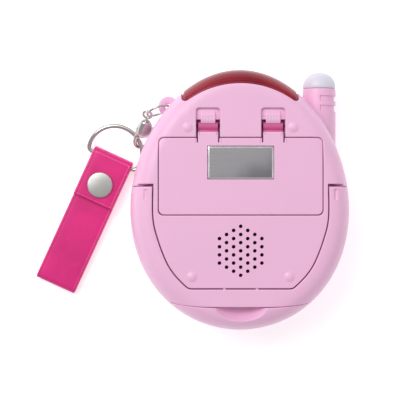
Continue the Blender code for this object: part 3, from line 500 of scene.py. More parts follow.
def offset(points, distance):
    """The outline moved sideways to its left by a distance, with mitred corners."""
    p = np.array(points, float)
    before, after = p - np.roll(p, 1, 0), np.roll(p, -1, 0) - p
    before /= np.linalg.norm(before, axis=1)[:, None]
    after /= np.linalg.norm(after, axis=1)[:, None]
    normal = np.column_stack([-(before + after)[:, 1], (before + after)[:, 0]])
    normal /= np.linalg.norm(normal, axis=1)[:, None].clip(1e-9)
    left = np.column_stack([-after[:, 1], after[:, 0]])
    mitre = (normal * left).sum(1).clip(0.5, 1.0)
    return [tuple(v) for v in p + normal * (distance / mitre)[:, None]]


def start_ring(bm, points):
    """A closed ring made from a circle, with one numbered vertex for each point."""
    order = bm.verts.layers.int.get("order") or bm.verts.layers.int.new("order")
    made = bmesh.ops.create_circle(bm, cap_ends=False, segments=len(points), radius=1.0)["verts"]
    for index, (vert, point) in enumerate(zip(made, points)):
        vert[order] = index
        vert.co = point
    return list({edge for vert in made for edge in vert.link_edges})


def grow_ring(bm, ring, points):
    """Extrudes a ring to new points. A grown vertex keeps its number, so each goes to its own point."""
    order = bm.verts.layers.int["order"]
    made = bmesh.ops.extrude_edge_only(bm, edges=ring)["geom"]
    for vert in pick(made, BMVert):
        vert.co = points[vert[order]]
    return pick(made, BMEdge)


def grow(bm, outlines, closed=False):
    """A skin through outlines with equal point counts; a closed one joins its last to its first."""
    first = last = start_ring(bm, outlines[0])
    for outline in outlines[1:]:
        last = grow_ring(bm, last, outline)
    if closed:
        bmesh.ops.bridge_loops(bm, edges=first + last)
    return first, last


def level(points, z):
    return [(point[0], point[1], z) for point in points]


def cap_ends(bm, ends):
    for end in ends:
        bmesh.ops.holes_fill(bm, edges=end, sides=0)


def rolled_edge(bm, outline, radius, support=0.35):
    """Rings from the wall up over a rounded edge. Returns the wall's ring and the innermost ring."""
    rings = [level(outline, -radius)]
    for turn in np.linspace(0.0, math.pi / 2, 5)[1:]:
        rings.append(level(offset(outline, radius * (1 - math.cos(turn))), -radius * (1 - math.sin(turn))))
    rings.append(level(offset(outline, radius + support), 0.0))
    return grow(bm, rings)


def drop_ring(bm, wall, depth, shift=None):
    """Walls straight down from a ring to a depth; returns the new ring."""
    made = bmesh.ops.extrude_edge_only(bm, edges=list(wall))["geom"]
    for vert in pick(made, BMVert):
        vert.co.z = -depth
        if shift:
            shift(vert)
    return pick(made, BMEdge)


def fill(bm, rings):
    edges = [edge for ring in rings for edge in ring]
    made = bmesh.ops.triangle_fill(bm, use_beauty=True, use_dissolve=False, edges=edges)["geom"]
    return pick(made, BMFace)


def grid_cuts(bm, faces, spacing, only=None):
    """Cuts the faces by upright planes in both directions, so that they can bend."""
    if only:
        (x0, x1), (y0, y1) = only
        faces = [f for f in faces if f.is_valid and x0 < f.calc_center_median().x < x1
                 and y0 < f.calc_center_median().y < y1]
    xs = [v.co.x for face in faces for v in face.verts]
    ys = [v.co.y for face in faces for v in face.verts]
    faces = set(faces)
    for axis, values in ((0, xs), (1, ys)):
        place = math.floor(min(values) / spacing) * spacing + spacing / 2
        while place < max(values):
            live = [f for f in faces if f.is_valid]
            touched = [f for f in live if min(v.co[axis] for v in f.verts) < place
                       < max(v.co[axis] for v in f.verts)]
            if touched:
                edges = {e for f in touched for e in f.edges}
                verts = {v for f in touched for v in f.verts}
                normal = (1, 0, 0) if axis == 0 else (0, 1, 0)
                point = (place, 0, 0) if axis == 0 else (0, place, 0)
                cut = bmesh.ops.bisect_plane(bm, geom=list(verts) + list(edges) + touched, dist=1e-5,
                                             plane_co=point, plane_no=normal)
                faces |= set(pick(cut["geom"], BMFace))
            place += spacing
    return [f for f in faces if f.is_valid]


def slab(outlines):
    """A closed skin through outlines, with both of its ends filled."""
    bm = bmesh.new()
    for end in grow(bm, outlines):
        fill(bm, [end])
    return bm


def settle(bm, wrap=None, after=None):
    """Wraps a flat pattern onto the egg where a wrap is given, and moves it from millimetres to metres."""
    verts = list(bm.verts)
    places = wrap.carry([v.co for v in verts]) if wrap else np.array([v.co for v in verts])
    if after:
        places = after(places, np.array([v.co for v in verts]))
    for vert, place in zip(verts, places):
        vert.co = Vector(place) * MM + TOY


def clean(bm):
    """Merges the vertices that meet and turns the faces outwards."""
    bmesh.ops.remove_doubles(bm, verts=bm.verts, dist=MERGE)
    bmesh.ops.recalc_face_normals(bm, faces=bm.faces)


def finish_piece(name, bm, material, body, stands_for=(), sharp=SHARP, wrap=None, after=None):
    """A piece from its pattern: settled, cleaned, on its body, in place of its frame parts."""
    settle(bm, wrap, after)
    clean(bm)
    mesh = bpy.data.meshes.new(name)
    bm.to_mesh(mesh)
    bm.free()
    mesh.shade_smooth()
    mesh.set_sharp_from_angle(angle=math.radians(sharp))
    mesh.materials.append(material)
    piece = bpy.data.objects.new(name, mesh)
    bpy.context.scene.collection.objects.link(piece)
    if body:
        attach(piece, body)
    if stands_for:
        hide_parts(*stands_for)
    print(f"{name}: {sum(len(p.vertices) - 2 for p in mesh.polygons)} triangles")
    return piece


def corner_points(centre, radius, start, steps=6):
    """A quarter circle, anticlockwise from a start angle in degrees."""
    turns = [math.radians(start + 90 * k / steps) for k in range(steps + 1)]
    return [(centre[0] + radius * math.cos(t), centre[1] + radius * math.sin(t)) for t in turns]


def rectangle(half_x, y, extra=0.0):
    """The corners of an upright rectangle about X = 0, larger by an extra on each side."""
    x, low, high = half_x + extra, y[0] - extra, y[1] + extra
    return [(x, high), (-x, high), (-x, low), (x, low)]


def rounded_rect(x, y, radius, steps=6):
    made = []
    for cx, cy, start in ((x[1] - radius, y[1] - radius, 0), (x[0] + radius, y[1] - radius, 90),
                          (x[0] + radius, y[0] + radius, 180), (x[1] - radius, y[0] + radius, 270)):
        made += corner_points((cx, cy), radius, start, steps)
    return made


def oriented(points, anticlockwise=True):
    return points if (signed_area(points) > 0) == anticlockwise else points[::-1]


# %% [markdown]
# ## Where the back is cut
# The numbers here repeat the frame's: the U-shaped stand, the door with its two hinge tongues, the arc
# of the red window and the grille. Each outline is drawn in plan and then flattened.

# %% Outlines in plan
EDGE = 0.28
STAND_TOP, STAND_BOTTOM, SLOT_TOP, LIP, STAND_GAP = 4.45, -36.2, 5.35, 16.3, 0.4
STAND_INNER = ((29.4, 6.0), (29.4, -6.0), (27.8, -13.2), (25.0, -20.6), (22.2, -25.1), (18.2, -29.2),
               (16.6, -29.85))
DOOR_X, DOOR_Y, DOOR_CORNER, GAP = 27.6, (-5.0, 20.85), 1.75, 0.3
HINGE_X, HINGE_HALF, TONGUE_HALF = 11.0, 4.05, 3.4
SPEAKER_Y, PITCH, HOLE_RADIUS = -17.2, 2.75, 0.64
ARC_RADIUS, ARC_Y, WINDOW_HALF = 31.0, 8.35, 20.2


def smooth_line(points, steps):
    """A smooth curve through the points."""
    ends = [2 * Vector(points[0]) - Vector(points[1])] + [Vector(p) for p in points]
    ends.append(2 * Vector(points[-1]) - Vector(points[-2]))
    path = []
    for index in range(1, len(ends) - 2):
        a, b, c, d = ends[index - 1:index + 3]
        for step in range(steps):
            t = step / steps
            path.append(0.5 * (2 * b + (c - a) * t + (2 * a - 5 * b + 4 * c - d) * t * t
                               + (3 * b - a - 3 * c + d) * t ** 3))
    return path + [ends[-2].copy()]


def inner_line(gap):
    """The U's inner line on the right side, moved out by a gap, from its top to its bottom."""
    line = smooth_line(STAND_INNER, 10)
    made = []
    for index, point in enumerate(line):
        along = (line[min(index + 1, len(line) - 1)] - line[max(index - 1, 0)]).normalized()
        made.append((point.x - along.y * gap, point.y + along.x * gap))
    made[-1] = (made[-1][0], STAND_INNER[-1][1] - gap)
    return made


def contour(wrap, height):
    """How far along the profile a height lies."""
    order = np.argsort(wrap.height)
    return float(np.interp(height, wrap.height[order], wrap.along[order]))


def stand_pattern(gap, top, bottom, lip, shoulder=None):
    """The stand's U as a flat pattern. Outside the shoulder its top edge drops to a lower place."""
    s_lip = contour(back, lip)
    half_x, half_y = (float(np.interp(s_lip, back.along, table)) for table in (back.half_x, back.half_y))

    def lip_angle(y):
        return math.asin(max(-1.0, min(1.0, y / half_y)))

    def lip_x(y):
        angle = lip_angle(y)
        return half_x * math.cos(angle) * (1 - TAPER * math.sin(angle))

    inner = [p for p in inner_line(gap) if p[1] < top - 0.8]
    right = [(inner[0][0], top)] + inner
    outer_top = shoulder[1] if shoulder else top
    stretch = np.linspace(inner[0][0], lip_x(outer_top), 24)[1:-1]
    top_edge = [(x, outer_top if shoulder and x > shoulder[0] else top) for x in stretch]
    low = bottom + 0.15 * (BACK_TOP - lip)
    rim = [back.ring(s_lip, angle) for angle in np.linspace(lip_angle(outer_top), lip_angle(low), 71)]
    start, end = (lip_x(low), low), (0.0, bottom)
    lower = []
    for k in range(1, 48):
        x = start[0] * (1 - k / 48)
        share = max(0.0, (x - 6.6) / (start[0] - 6.6))
        lower.append((x, bottom + (low - bottom) * share ** 3))
    half = back.flatten(right[::-1]) + back.flatten(top_edge) + rim + back.flatten(lower)
    mirrored = [(-x, y) for x, y in half[::-1]]
    return oriented(resample(half + back.flatten([end]) + mirrored, 0.9))


def window_edge(gap):
    """The window's edge in plan: from the parting line on the right, over the arc, to the left one."""
    side, radius, round_off = WINDOW_HALF - gap, ARC_RADIUS + gap, 1.5
    low, high = 0.8, 1.3
    for _ in range(50):
        end = (low + high) / 2
        reach = HALF_WIDTH * math.cos(end) * (1 - TAPER * math.sin(end))
        low, high = (end, high) if reach > side else (low, end)
    top = HALF_LENGTH * math.sin(end)
    corner_y = ARC_Y + math.sqrt((radius + round_off) ** 2 - (side - round_off) ** 2)
    meet = math.atan2(side - round_off, corner_y - ARC_Y)
    half = [(side, top - (top - corner_y) * (k / 24) ** 2) for k in range(24)]
    half += [(side - round_off + round_off * math.cos(t), corner_y + round_off * math.sin(t))
             for t in np.linspace(0.0, -math.pi / 2 - meet, 8)]
    half += [(radius * math.sin(t), ARC_Y + radius * math.cos(t)) for t in np.linspace(meet, 0.0, 50)[1:]]
    return half + [(-x, y) for x, y in half[-2::-1]], end


stand_outline = stand_pattern(STAND_GAP, STAND_TOP, STAND_BOTTOM, LIP)
pocket_outline = stand_pattern(0.0, SLOT_TOP, STAND_BOTTOM - 0.25, LIP - 0.3, (34.9, STAND_TOP + 0.2))
print("stand pattern points:", len(stand_outline), "area in mm2:", round(signed_area(stand_outline)))


# %% [markdown]
# ## The back of the casing
# One moulding carries the speaker panel, the chin and the crown. Its surface has a U-shaped pocket for
# the stand, an opening for the door with a well at each hinge, and the grille. The pocket and the
# opening are walls dropped from the pattern's rings, with floors; the grille's holes go right through.

# %% Casing back
WALL, STAND_POCKET, DOOR_POCKET, HINGE_POCKET, PIVOT_FLOOR = 5.6, 4.3, 2.3, 4.7, 22.2
WELL_TOP, WELL_CORNER, HINGE_HOLE_Y = 31.0, 1.1, (19.6, 27.1)
TRAY_X, TRAY_Y = 24.2, (-3.2, 19.2)
SCOOP_Y, SCOOP_HALF, SCOOP_DEPTH, SCOOP_BELOW = -36.0, (8.9, 5.2), 4.6, -36.3


def door_opening():
    """The door's opening with the two hinge wells standing on it, anticlockwise."""
    x, low, high, radius = DOOR_X + GAP, DOOR_Y[0] - GAP, DOOR_Y[1] + GAP, DOOR_CORNER
    made = corner_points((x - radius, low + radius), radius, 270)
    made += corner_points((x - radius, high - radius), radius, 0)
    for centre in (HINGE_X, -HINGE_X):
        made += [(centre + HINGE_HALF, high)]
        made += corner_points((centre + HINGE_HALF - WELL_CORNER, WELL_TOP - WELL_CORNER), WELL_CORNER, 0)
        made += corner_points((centre - HINGE_HALF + WELL_CORNER, WELL_TOP - WELL_CORNER), WELL_CORNER, 90)
        made += [(centre - HINGE_HALF, high)]
    made += corner_points((-x + radius, high - radius), radius, 90)
    made += corner_points((-x + radius, low + radius), radius, 180)
    return resample(made, 0.9)


def grille_centres():
    rows = 3
    return [(column * PITCH * math.sqrt(3) / 2, SPEAKER_Y + (row - (2 * rows - abs(column)) / 2) * PITCH)
            for column in range(-rows, rows + 1) for row in range(2 * rows + 1 - abs(column))]


def circle(centre, radius, count):
    return [(centre[0] + radius * math.cos(2 * math.pi * k / count),
             centre[1] + radius * math.sin(2 * math.pi * k / count)) for k in range(count)]


def cut_egg(wrap):
    """The parting line, cut across the top by the window's edge."""
    plan, end = window_edge(0.0)
    turn = 2 * math.pi - (math.pi - 2 * end)
    rim = [wrap.ring(wrap.length, end - turn * k / 230) for k in range(1, 230)]
    return oriented(wrap.flatten(plan)[::-1] + rim)


def scooped(places, flat):
    """A thumb scoop at the stand's lower edge, and a deeper pocket floor under the stand's pivots."""
    x, y = places[:, 0] / SCOOP_HALF[0], (places[:, 1] - SCOOP_Y) / SCOOP_HALF[1]
    reach = np.sqrt(x * x + y * y)
    hollow = SCOOP_DEPTH * np.sqrt((1 - reach ** 2).clip(0)) * (1 - reach.clip(0, 1) ** 4)
    low = (flat[:, 2] > -1.0) & (places[:, 1] < SCOOP_BELOW) & (reach < 1)
    places[low, 2] -= hollow[low]
    under_pivot = (abs(flat[:, 2] + STAND_POCKET) < 0.05) & (abs(places[:, 0]) > 29.0) & (places[:, 1] > 0.0)
    places[under_pivot, 2] = np.minimum(places[under_pivot, 2], PIVOT_FLOOR)
    return places


casing = bmesh.new()
outer_wall, outer_in = rolled_edge(casing, cut_egg(back), 0.2)
stand_wall, stand_in = rolled_edge(casing, oriented(pocket_outline, False), EDGE)
door_wall, door_in = rolled_edge(casing, oriented(back.flatten(door_opening()), False), EDGE)
hole_walls, hole_ins = [], []
for centre in grille_centres():
    wall, last = rolled_edge(casing, oriented(circle(centre, HOLE_RADIUS, 18), False), 0.07, 0.12)
    hole_walls.append(wall)
    hole_ins.append(last)
top_faces = fill(casing, [outer_in, stand_in, door_in] + hole_ins)
top_faces = grid_cuts(casing, top_faces, 1.5)
grid_cuts(casing, top_faces, 0.3, ((-9.0, 9.0), (-45.0, -36.2)))

inner_rings = [drop_ring(casing, outer_wall, WALL)]
inner_rings += [drop_ring(casing, wall, WALL) for wall in hole_walls]
stand_floor = fill(casing, [drop_ring(casing, stand_wall, STAND_POCKET)])
grid_cuts(casing, stand_floor, 3.0)
tray_edge = start_ring(casing, level(resample(rectangle(TRAY_X, TRAY_Y), 2.0), -DOOR_POCKET))
hinge_edges = []
for side in (-1, 1):
    low, high = side * HINGE_X - HINGE_HALF + 0.05, side * HINGE_X + HINGE_HALF - 0.05
    corners = [(high, HINGE_HOLE_Y[0]), (low, HINGE_HOLE_Y[0]), (low, HINGE_HOLE_Y[1]),
               (high, HINGE_HOLE_Y[1])]
    hinge_edges.append(start_ring(casing, level(corners, -DOOR_POCKET)))
floor_edge = drop_ring(casing, door_wall, DOOR_POCKET)
door_floor = fill(casing, [floor_edge, tray_edge] + hinge_edges)
for edge in hinge_edges:
    fill(casing, [drop_ring(casing, edge, HINGE_POCKET)])
inner_rings.append(drop_ring(casing, tray_edge, WALL))
inner_sheet = fill(casing, inner_rings)
grid_cuts(casing, door_floor, 3.0)
grid_cuts(casing, inner_sheet, 5.0)
finish_piece("casing_back", casing, pink_plastic, "casing", ("back_shell",), wrap=back,
             after=scooped)

# %% [markdown]
# ## The fold-out stand
# The stand is a U that lies flush in its pocket and swings out on two pins. Its outer edge is the egg's
# own side down to a lip, so its pattern runs over the rim.

# %% Stand
STAND_THICK = 3.2


def solid_panel(outline, thickness, radius=EDGE, spacing=1.5, holes=(), shift=None):
    """A closed panel from a flat pattern: rounded top edge, walls and a flat underside."""
    bm = bmesh.new()
    wall, last = rolled_edge(bm, outline, radius)
    tops, bottoms = [last], [drop_ring(bm, wall, thickness, shift)]
    for hole, hole_radius, depth in holes:
        hole_wall, hole_in = rolled_edge(bm, oriented(hole, False), hole_radius, 0.2)
        tops.append(hole_in)
        if depth:
            fill(bm, [drop_ring(bm, hole_wall, depth)])
        else:
            bottoms.append(drop_ring(bm, hole_wall, thickness))
    grid_cuts(bm, fill(bm, tops), spacing)
    grid_cuts(bm, fill(bm, bottoms), spacing * 2)
    return bm


stand = solid_panel(stand_outline, STAND_THICK)
stand_piece = finish_piece("stand_frame", stand, pink_plastic, "stand", ("rear_stand",),
                           wrap=back)

# %% [markdown]
# ## The battery door
# The door is a flat panel with a shallow pocket for the steel plate. At its top two tongues reach over
# the hinge pins. Its rear edge leans in below, so that it clears the casing as it swings.

# %% Door
PLATE_X, PLATE_Y, PLATE_GAP = 11.1, (7.0, 18.05), 0.15
NOTCH, TONGUE_ROOT, TONGUE_END, TONGUE_CORNER = 0.25, 19.3, 22.9, 0.35


def door_outline():
    low, high, radius = DOOR_Y[0], DOOR_Y[1], DOOR_CORNER
    made = corner_points((DOOR_X - radius, low + radius), radius, 270)
    made += corner_points((DOOR_X - radius, high - radius), radius, 0)
    for centre in (HINGE_X, -HINGE_X):
        end = TONGUE_END - TONGUE_CORNER
        made += [(centre + HINGE_HALF + 0.05, high), (centre + HINGE_HALF - NOTCH, high - NOTCH)]
        made += [(centre + HINGE_HALF - NOTCH, TONGUE_ROOT), (centre + TONGUE_HALF, TONGUE_ROOT)]
        made += corner_points((centre + TONGUE_HALF - TONGUE_CORNER, end), TONGUE_CORNER, 0, 3)
        made += corner_points((centre - TONGUE_HALF + TONGUE_CORNER, end), TONGUE_CORNER, 90, 3)
        made += [(centre - TONGUE_HALF, TONGUE_ROOT), (centre - HINGE_HALF + NOTCH, TONGUE_ROOT)]
        made += [(centre - HINGE_HALF + NOTCH, high - NOTCH), (centre - HINGE_HALF - 0.05, high)]
    made += corner_points((-DOOR_X + radius, high - radius), radius, 90)
    made += corner_points((-DOOR_X + radius, low + radius), radius, 180)
    return resample(made, 0.9)


def lean_in(vert):
    """Pulls the underside in along the hinged edge, beside the hinges."""
    if vert.co.y > DOOR_Y[1] - 0.9 and abs(abs(vert.co.x) - HINGE_X) > HINGE_HALF:
        vert.co.y -= 0.8


plate_hole = resample(rectangle(PLATE_X, PLATE_Y, PLATE_GAP), 2.0)
door = solid_panel(oriented(back.flatten(door_outline())), 2.0, 0.24, 1.5, [(plate_hole, 0.1, 0.95)], lean_in)
finish_piece("door_panel", door, pink_plastic, "door", ("battery_door",), wrap=back)


# %% [markdown]
# The hinge shows as a fat barrel between the door's tongue and the casing's ribbed finger. The barrel is
# turned about the pin, and one broad arm joins it to the door. Behind it the well has its own floor, and the
# finger rises from the crown, carries four ribs and bends down over the pin.

# %% Hinge barrels and fingers
AXIS_Y, AXIS_Z = 25.0, 24.2


def lathe(bm, profile, centre, axis, steps=40):
    """Spins a profile of (distance, place) pairs about an axis through a centre."""
    axis = Vector(axis).normalized()
    side = axis.orthogonal().normalized()
    points = [Vector(centre) + side * r + axis * p for r, p in profile]
    made = [bmesh.ops.create_vert(bm, co=points[0])["vert"][0]]
    edges = []
    for point in points[1:]:
        grown = bmesh.ops.extrude_vert_indiv(bm, verts=[made[-1]])
        grown["verts"][0].co = point
        made.append(grown["verts"][0])
        edges += grown["edges"]
    bmesh.ops.spin(bm, geom=made + edges, cent=centre, axis=axis, angle=2 * math.pi, steps=steps,
                   use_merge=True, use_duplicate=False)


def turned_piece(name, profile, centre, axis, material, body, stands_for=(), steps=64, sharp=40.0,
                 shape=None):
    """A piece spun about an axis, and changed by a shape function where one is given."""
    bm = bmesh.new()
    lathe(bm, profile, centre, axis, steps)
    if shape:
        shape(bm)
    finish_piece(name, bm, material, body, stands_for, sharp)


def block(bm, x, y, z, bevel=0.15):
    """A box with rounded edges."""
    made = bmesh.ops.create_cube(bm, size=1.0)["verts"]
    low = Vector((min(x), min(y), min(z)))
    size = Vector((max(x), max(y), max(z))) - low
    bmesh.ops.scale(bm, verts=made, vec=size)
    bmesh.ops.translate(bm, verts=made, vec=low + size / 2)
    edges = list({edge for vert in made for edge in vert.link_edges})
    bmesh.ops.bevel(bm, geom=edges, offset=bevel, offset_type="OFFSET", segments=2, profile=0.5,
                    affect="EDGES", clamp_overlap=True, material=-1)


FINGER_WIDTH, FINGER_LENGTH, FINGER_END, FINGER_TOP = 4.9, 5.1, 30.9, 25.85
RIB_PITCH, RIB_DEPTH = 0.98, 0.09


def finger_height(x, y):
    """The finger's surface: it rises from the crown, has its ribs, rounds its sides and bends down."""
    bend, edge = max(0.0, 27.2 - y), max(0.0, abs(x) - 2.15)
    rib = RIB_DEPTH * (0.5 - 0.5 * math.cos(2 * math.pi * x / RIB_PITCH)) if abs(x) < 2 * RIB_PITCH else 0.0
    ribbed = max(0.0, min(1.0, (28.6 - y) / 0.6))
    rise = min(1.0, max(0.0, (30.6 - y) / 2.2))
    return (FINGER_TOP + 0.6 * rise * rise * (3 - 2 * rise) - 0.30 * bend ** 2 - rib * ribbed
            - 1.3 * edge ** 2)


for name, side in (("left", -1), ("right", 1)):
    barrel = bmesh.new()
    middle = side * HINGE_X
    lathe(barrel, [(0.8, -3.3), (1.3, -3.4), (1.5, -3.2), (1.5, 3.2), (1.3, 3.4), (0.8, 3.3), (0.8, -3.3)],
          (middle, AXIS_Y, AXIS_Z), (1, 0, 0))
    block(barrel, (middle - 3.35, middle + 3.35), (20.2, AXIS_Y - 0.2), (22.95, 24.9))
    # The barrel takes the painted shade pink, not a pigment of its own.
    finish_piece(f"hinge_barrel_{name}", barrel, painted_shade_plastic, "door")

    well = bmesh.new()
    reach = HINGE_HALF + 0.2
    block(well, (middle - reach, middle + reach), (27.15, 31.2), (24.6, 25.8), 0.1)
    finish_piece(f"hinge_well_{name}", well, pink_plastic, "casing")

    finger = bmesh.new()
    bmesh.ops.create_grid(finger, x_segments=40, y_segments=26, size=0.5)
    for vert in finger.verts:
        x, y = vert.co.x * FINGER_WIDTH, FINGER_END - FINGER_LENGTH * (vert.co.y + 0.5)
        vert.co = Vector((middle + x, y, finger_height(x, y)))
    for vert in pick(bmesh.ops.extrude_face_region(finger, geom=list(finger.faces))["geom"], BMVert):
        vert.co.z = min(vert.co.z - 0.5, 25.4)
    finish_piece(f"hinge_finger_{name}", finger, pink_plastic, "casing", sharp=50.0)

# %% [markdown]
# Two tiny tabs bridge the slot between the door's lower edge and the stand's bar. They are moulded with the
# stand, so they are small blocks with rounded edges that swing with it.

# %% Tabs on the stand
tabs = bmesh.new()
for side in (-1, 1):
    block(tabs, (side * 5.05, side * 5.95), (-30.65, -29.9), (25.6, 26.85), 0.12)
finish_piece("stand_tabs", tabs, pink_plastic, "stand")

# %% [markdown]
# Each arm of the stand has a short half-round groove for a fingernail, flat at its upper end and round at
# its lower one. A turned peg is sunk a little way into the arm's surface and cut away from it, because the
# arm's own faces are too large to show such a small dent.

# %% Nail grooves
GROOVE_X, GROOVE_RADIUS, GROOVE_DEPTH = 32.2, 0.78, 0.5
groove_tools = bmesh.new()
for side in (-1, 1):
    surface = back.carry(np.array([[*back.flatten([(side * GROOVE_X, 1.7)])[0], 0.0]]))[0]
    peg = [(0.0, -0.3), (0.3, -0.24), (0.56, -0.05), (0.72, 0.2), (GROOVE_RADIUS, 0.5), (GROOVE_RADIUS, 3.6),
           (0.0, 3.6)]
    height = surface[2] + GROOVE_RADIUS - GROOVE_DEPTH
    lathe(groove_tools, peg, (side * GROOVE_X, 0.0, height), (0, 1, 0), 40)
settle(groove_tools)
clean(groove_tools)
tool_mesh = bpy.data.meshes.new("groove_tool")
groove_tools.to_mesh(tool_mesh)
groove_tools.free()
tool = bpy.data.objects.new("groove_tool", tool_mesh)
bpy.context.scene.collection.objects.link(tool)
carving = stand_piece.modifiers.new("Groove", "BOOLEAN")
carving.operation, carving.solver, carving.object = "DIFFERENCE", "EXACT", tool
bpy.context.view_layer.update()
carved = bpy.data.meshes.new_from_object(stand_piece.evaluated_get(bpy.context.evaluated_depsgraph_get()))
stand_piece.modifiers.remove(carving)
stand_piece.data = carved
bpy.data.objects.remove(tool)
carved.shade_smooth()
carved.set_sharp_from_angle(angle=math.radians(SHARP))
print("grooved stand:", len(carved.polygons), "faces")

# %% [markdown]
# ## The steel plate
# A pressed plate fills its pocket flush. Its edge was broken by a bevel, which shines as a thin frame; the
# bevel's brighter metal colour is partly painted highlight.

# %% Plate
outline = resample(rounded_rect((-PLATE_X, PLATE_X), PLATE_Y, 0.5, 4), 3.0)
levels = ((0.0, 26.4), (0.0, 26.68), (0.05, 26.78), (0.5, 26.98), (0.56, 27.0))
plate = slab([level(offset(outline, inset), z) for inset, z in levels])
plate_piece = finish_piece("plate", plate, brushed_plate, "door", ("door_plate",),
                           sharp=12.0)
plate_piece.data.materials.append(polished_edge_highlight)
for face in plate_piece.data.polygons:
    face.material_index = 0 if face.normal.z > 0.985 else 1

# %% [markdown]
# ## Screw plugs
# Four soft domes hide the screws. They are as wide as the plug and swell gently from the surface.

# %% Screw plugs
SCREWS = {"1": (-17.8, 24.4), "2": (17.8, 24.4), "3": (-16.4, -26.0), "4": (16.4, -26.0)}
plug_profile = [(0.0, 26.4), (1.95, 26.4), (2.0, 26.95), (1.85, 27.0), (1.6, 27.08), (1.3, 27.24),
                (1.0, 27.38), (0.65, 27.48), (0.3, 27.53), (0.0, 27.54)]
for number, (x, y) in SCREWS.items():
    turned_piece(f"screw_bump_{number}", plug_profile, (x, y, 0.0), (0, 0, 1), pink_plastic, "casing",
                 (f"screw_plug_{number}",), 40, 60.0)

# %% [markdown]
# ## The front of the casing
# The front is a dome with a large rounded opening for the screen and three round button holes. It is a
# pattern on the front's own profile, cut at the top by the same arc as the back.

# %% Casing front
SCREEN_Y, SCREEN_POWER = 5.0, 3.4
BUTTONS = {"left": (11.4, -23.4), "middle": (0.0, -26.8), "right": (-11.4, -23.4)}


def oval(half_x, half_y, count=72, power=SCREEN_POWER, centre=(0.0, SCREEN_Y)):
    made = []
    for k in range(count):
        c, s = math.cos(2 * math.pi * k / count), math.sin(2 * math.pi * k / count)
        made.append((centre[0] + half_x * math.copysign(abs(c) ** (2 / power), c),
                     centre[1] + half_y * math.copysign(abs(s) ** (2 / power), s)))
    return made


front_shell = bmesh.new()
wall, last = rolled_edge(front_shell, cut_egg(front), 0.2)
holes = [(oval(22.3, 18.3), 0.25)] + [(circle(centre, 3.7, 40), 0.25) for centre in BUTTONS.values()]
tops, bottoms = [last], [drop_ring(front_shell, wall, 1.8)]
for hole, radius in holes:
    hole_wall, hole_in = rolled_edge(front_shell, oriented(front.flatten(hole), False), radius, 0.3)
    tops.append(hole_in)
    bottoms.append(drop_ring(front_shell, hole_wall, 1.8))
grid_cuts(front_shell, fill(front_shell, tops), 2.0)
grid_cuts(front_shell, fill(front_shell, bottoms), 4.0)
finish_piece("casing_front", front_shell, pink_plastic, "casing", ("front_shell",),
             wrap=front)

# %% [markdown]
# ## The red window
# The window is a crescent that wraps over the top edge from the back to the front. A narrow sunk border
# runs along the casing, and inside it the surface steps up with a rounded ridge that catches the light.

# %% Red window
whole = Wrap(*[np.concatenate([b, f[1:]]) for b, f in zip(profile_back(), profile_front())])


def window_outline():
    plan, _ = window_edge(0.15)
    upper, lower = back.flatten(plan), []
    for x, y in plan[::-1][1:-1]:
        s, angle = front.find(np.array([x]), np.array([y]),
                              lambda v: np.interp(v, front.along, front.half_x),
                              lambda v: np.interp(v, front.along, front.half_y))
        lower.append(whole.ring(back.length + front.length - float(s[0]), float(angle[0])))
    return oriented(resample(upper + lower, 0.8))


window = bmesh.new()
outline = window_outline()
border = ((0.0, -0.75), (0.05, -0.55), (0.15, -0.42), (0.75, -0.38), (0.85, -0.3), (0.97, -0.1),
          (1.1, -0.02), (1.3, 0.0), (1.7, 0.0))
first, last = grow(window, [level(offset(outline, inset), z) for inset, z in border])
grid_cuts(window, fill(window, [last]), 1.2)
fill(window, [drop_ring(window, first, 2.2)])
finish_piece("window", window, red_window, "casing", ("infrared_window",), sharp=50.0,
             wrap=whole)

# %% [markdown]
# ## The aerial
# A stubby aerial stands at the corner: a pink stem with two shallow windows on its outer side, then a pale
# domed tip. Both are turned shapes, so they are spun, with a small radius at every edge.

# %% Aerial
AERIAL_X, AERIAL_Z, STEM_RADIUS = 28.4, 8.1, 5.8
STEM_WINDOWS, SINK = ((31.0, 33.15), (34.6, 36.5)), 0.45
stem_profile = [(0.0, 14.0), (5.5, 14.0), (STEM_RADIUS, 14.6)]
for low, high in STEM_WINDOWS:
    stem_profile += [(STEM_RADIUS, y) for y in (low, low + 0.12, low + 0.3, high - 0.3, high - 0.12, high)]
stem_profile += [(STEM_RADIUS, 38.6), (5.76, 38.8), (5.6, 38.98), (5.3, 39.05), (0.0, 39.05)]
tip_profile = [(0.0, 38.9), (5.0, 38.9), (5.3, 39.1), (5.5, 39.14), (5.68, 39.24), (5.76, 39.45), (5.8, 39.8),
               (5.76, 40.4), (5.62, 41.1), (5.34, 41.9), (4.9, 42.7),
               (4.4, 43.35), (3.75, 43.95), (2.9, 44.45),
               (2.0, 44.78), (1.0, 44.95), (0.0, 45.0)]


def sink_windows(bm):
    """Two shallow windows on the outer side of the stem."""
    for vert in bm.verts:
        for low, high in STEM_WINDOWS:
            if low + 0.1 < vert.co.y < high - 0.1 and vert.co.x > AERIAL_X - 0.3:
                away = Vector((vert.co.x - AERIAL_X, 0.0, vert.co.z - AERIAL_Z))
                vert.co -= away.normalized() * min(SINK, away.length)


aerial_foot = (AERIAL_X, 0.0, AERIAL_Z)
turned_piece("aerial_body", stem_profile, aerial_foot, (0, 1, 0), pink_plastic, "casing",
             ("aerial_stem",), 96, shape=sink_windows)
turned_piece("aerial_end", tip_profile, aerial_foot, (0, 1, 0), pale_plastic, "casing",
             ("aerial_tip",))

# %% [markdown]
# ## Screen surround, lens and buttons
# The screen sits in a rounded frame with a soft bevel. The buttons are low turned domes.

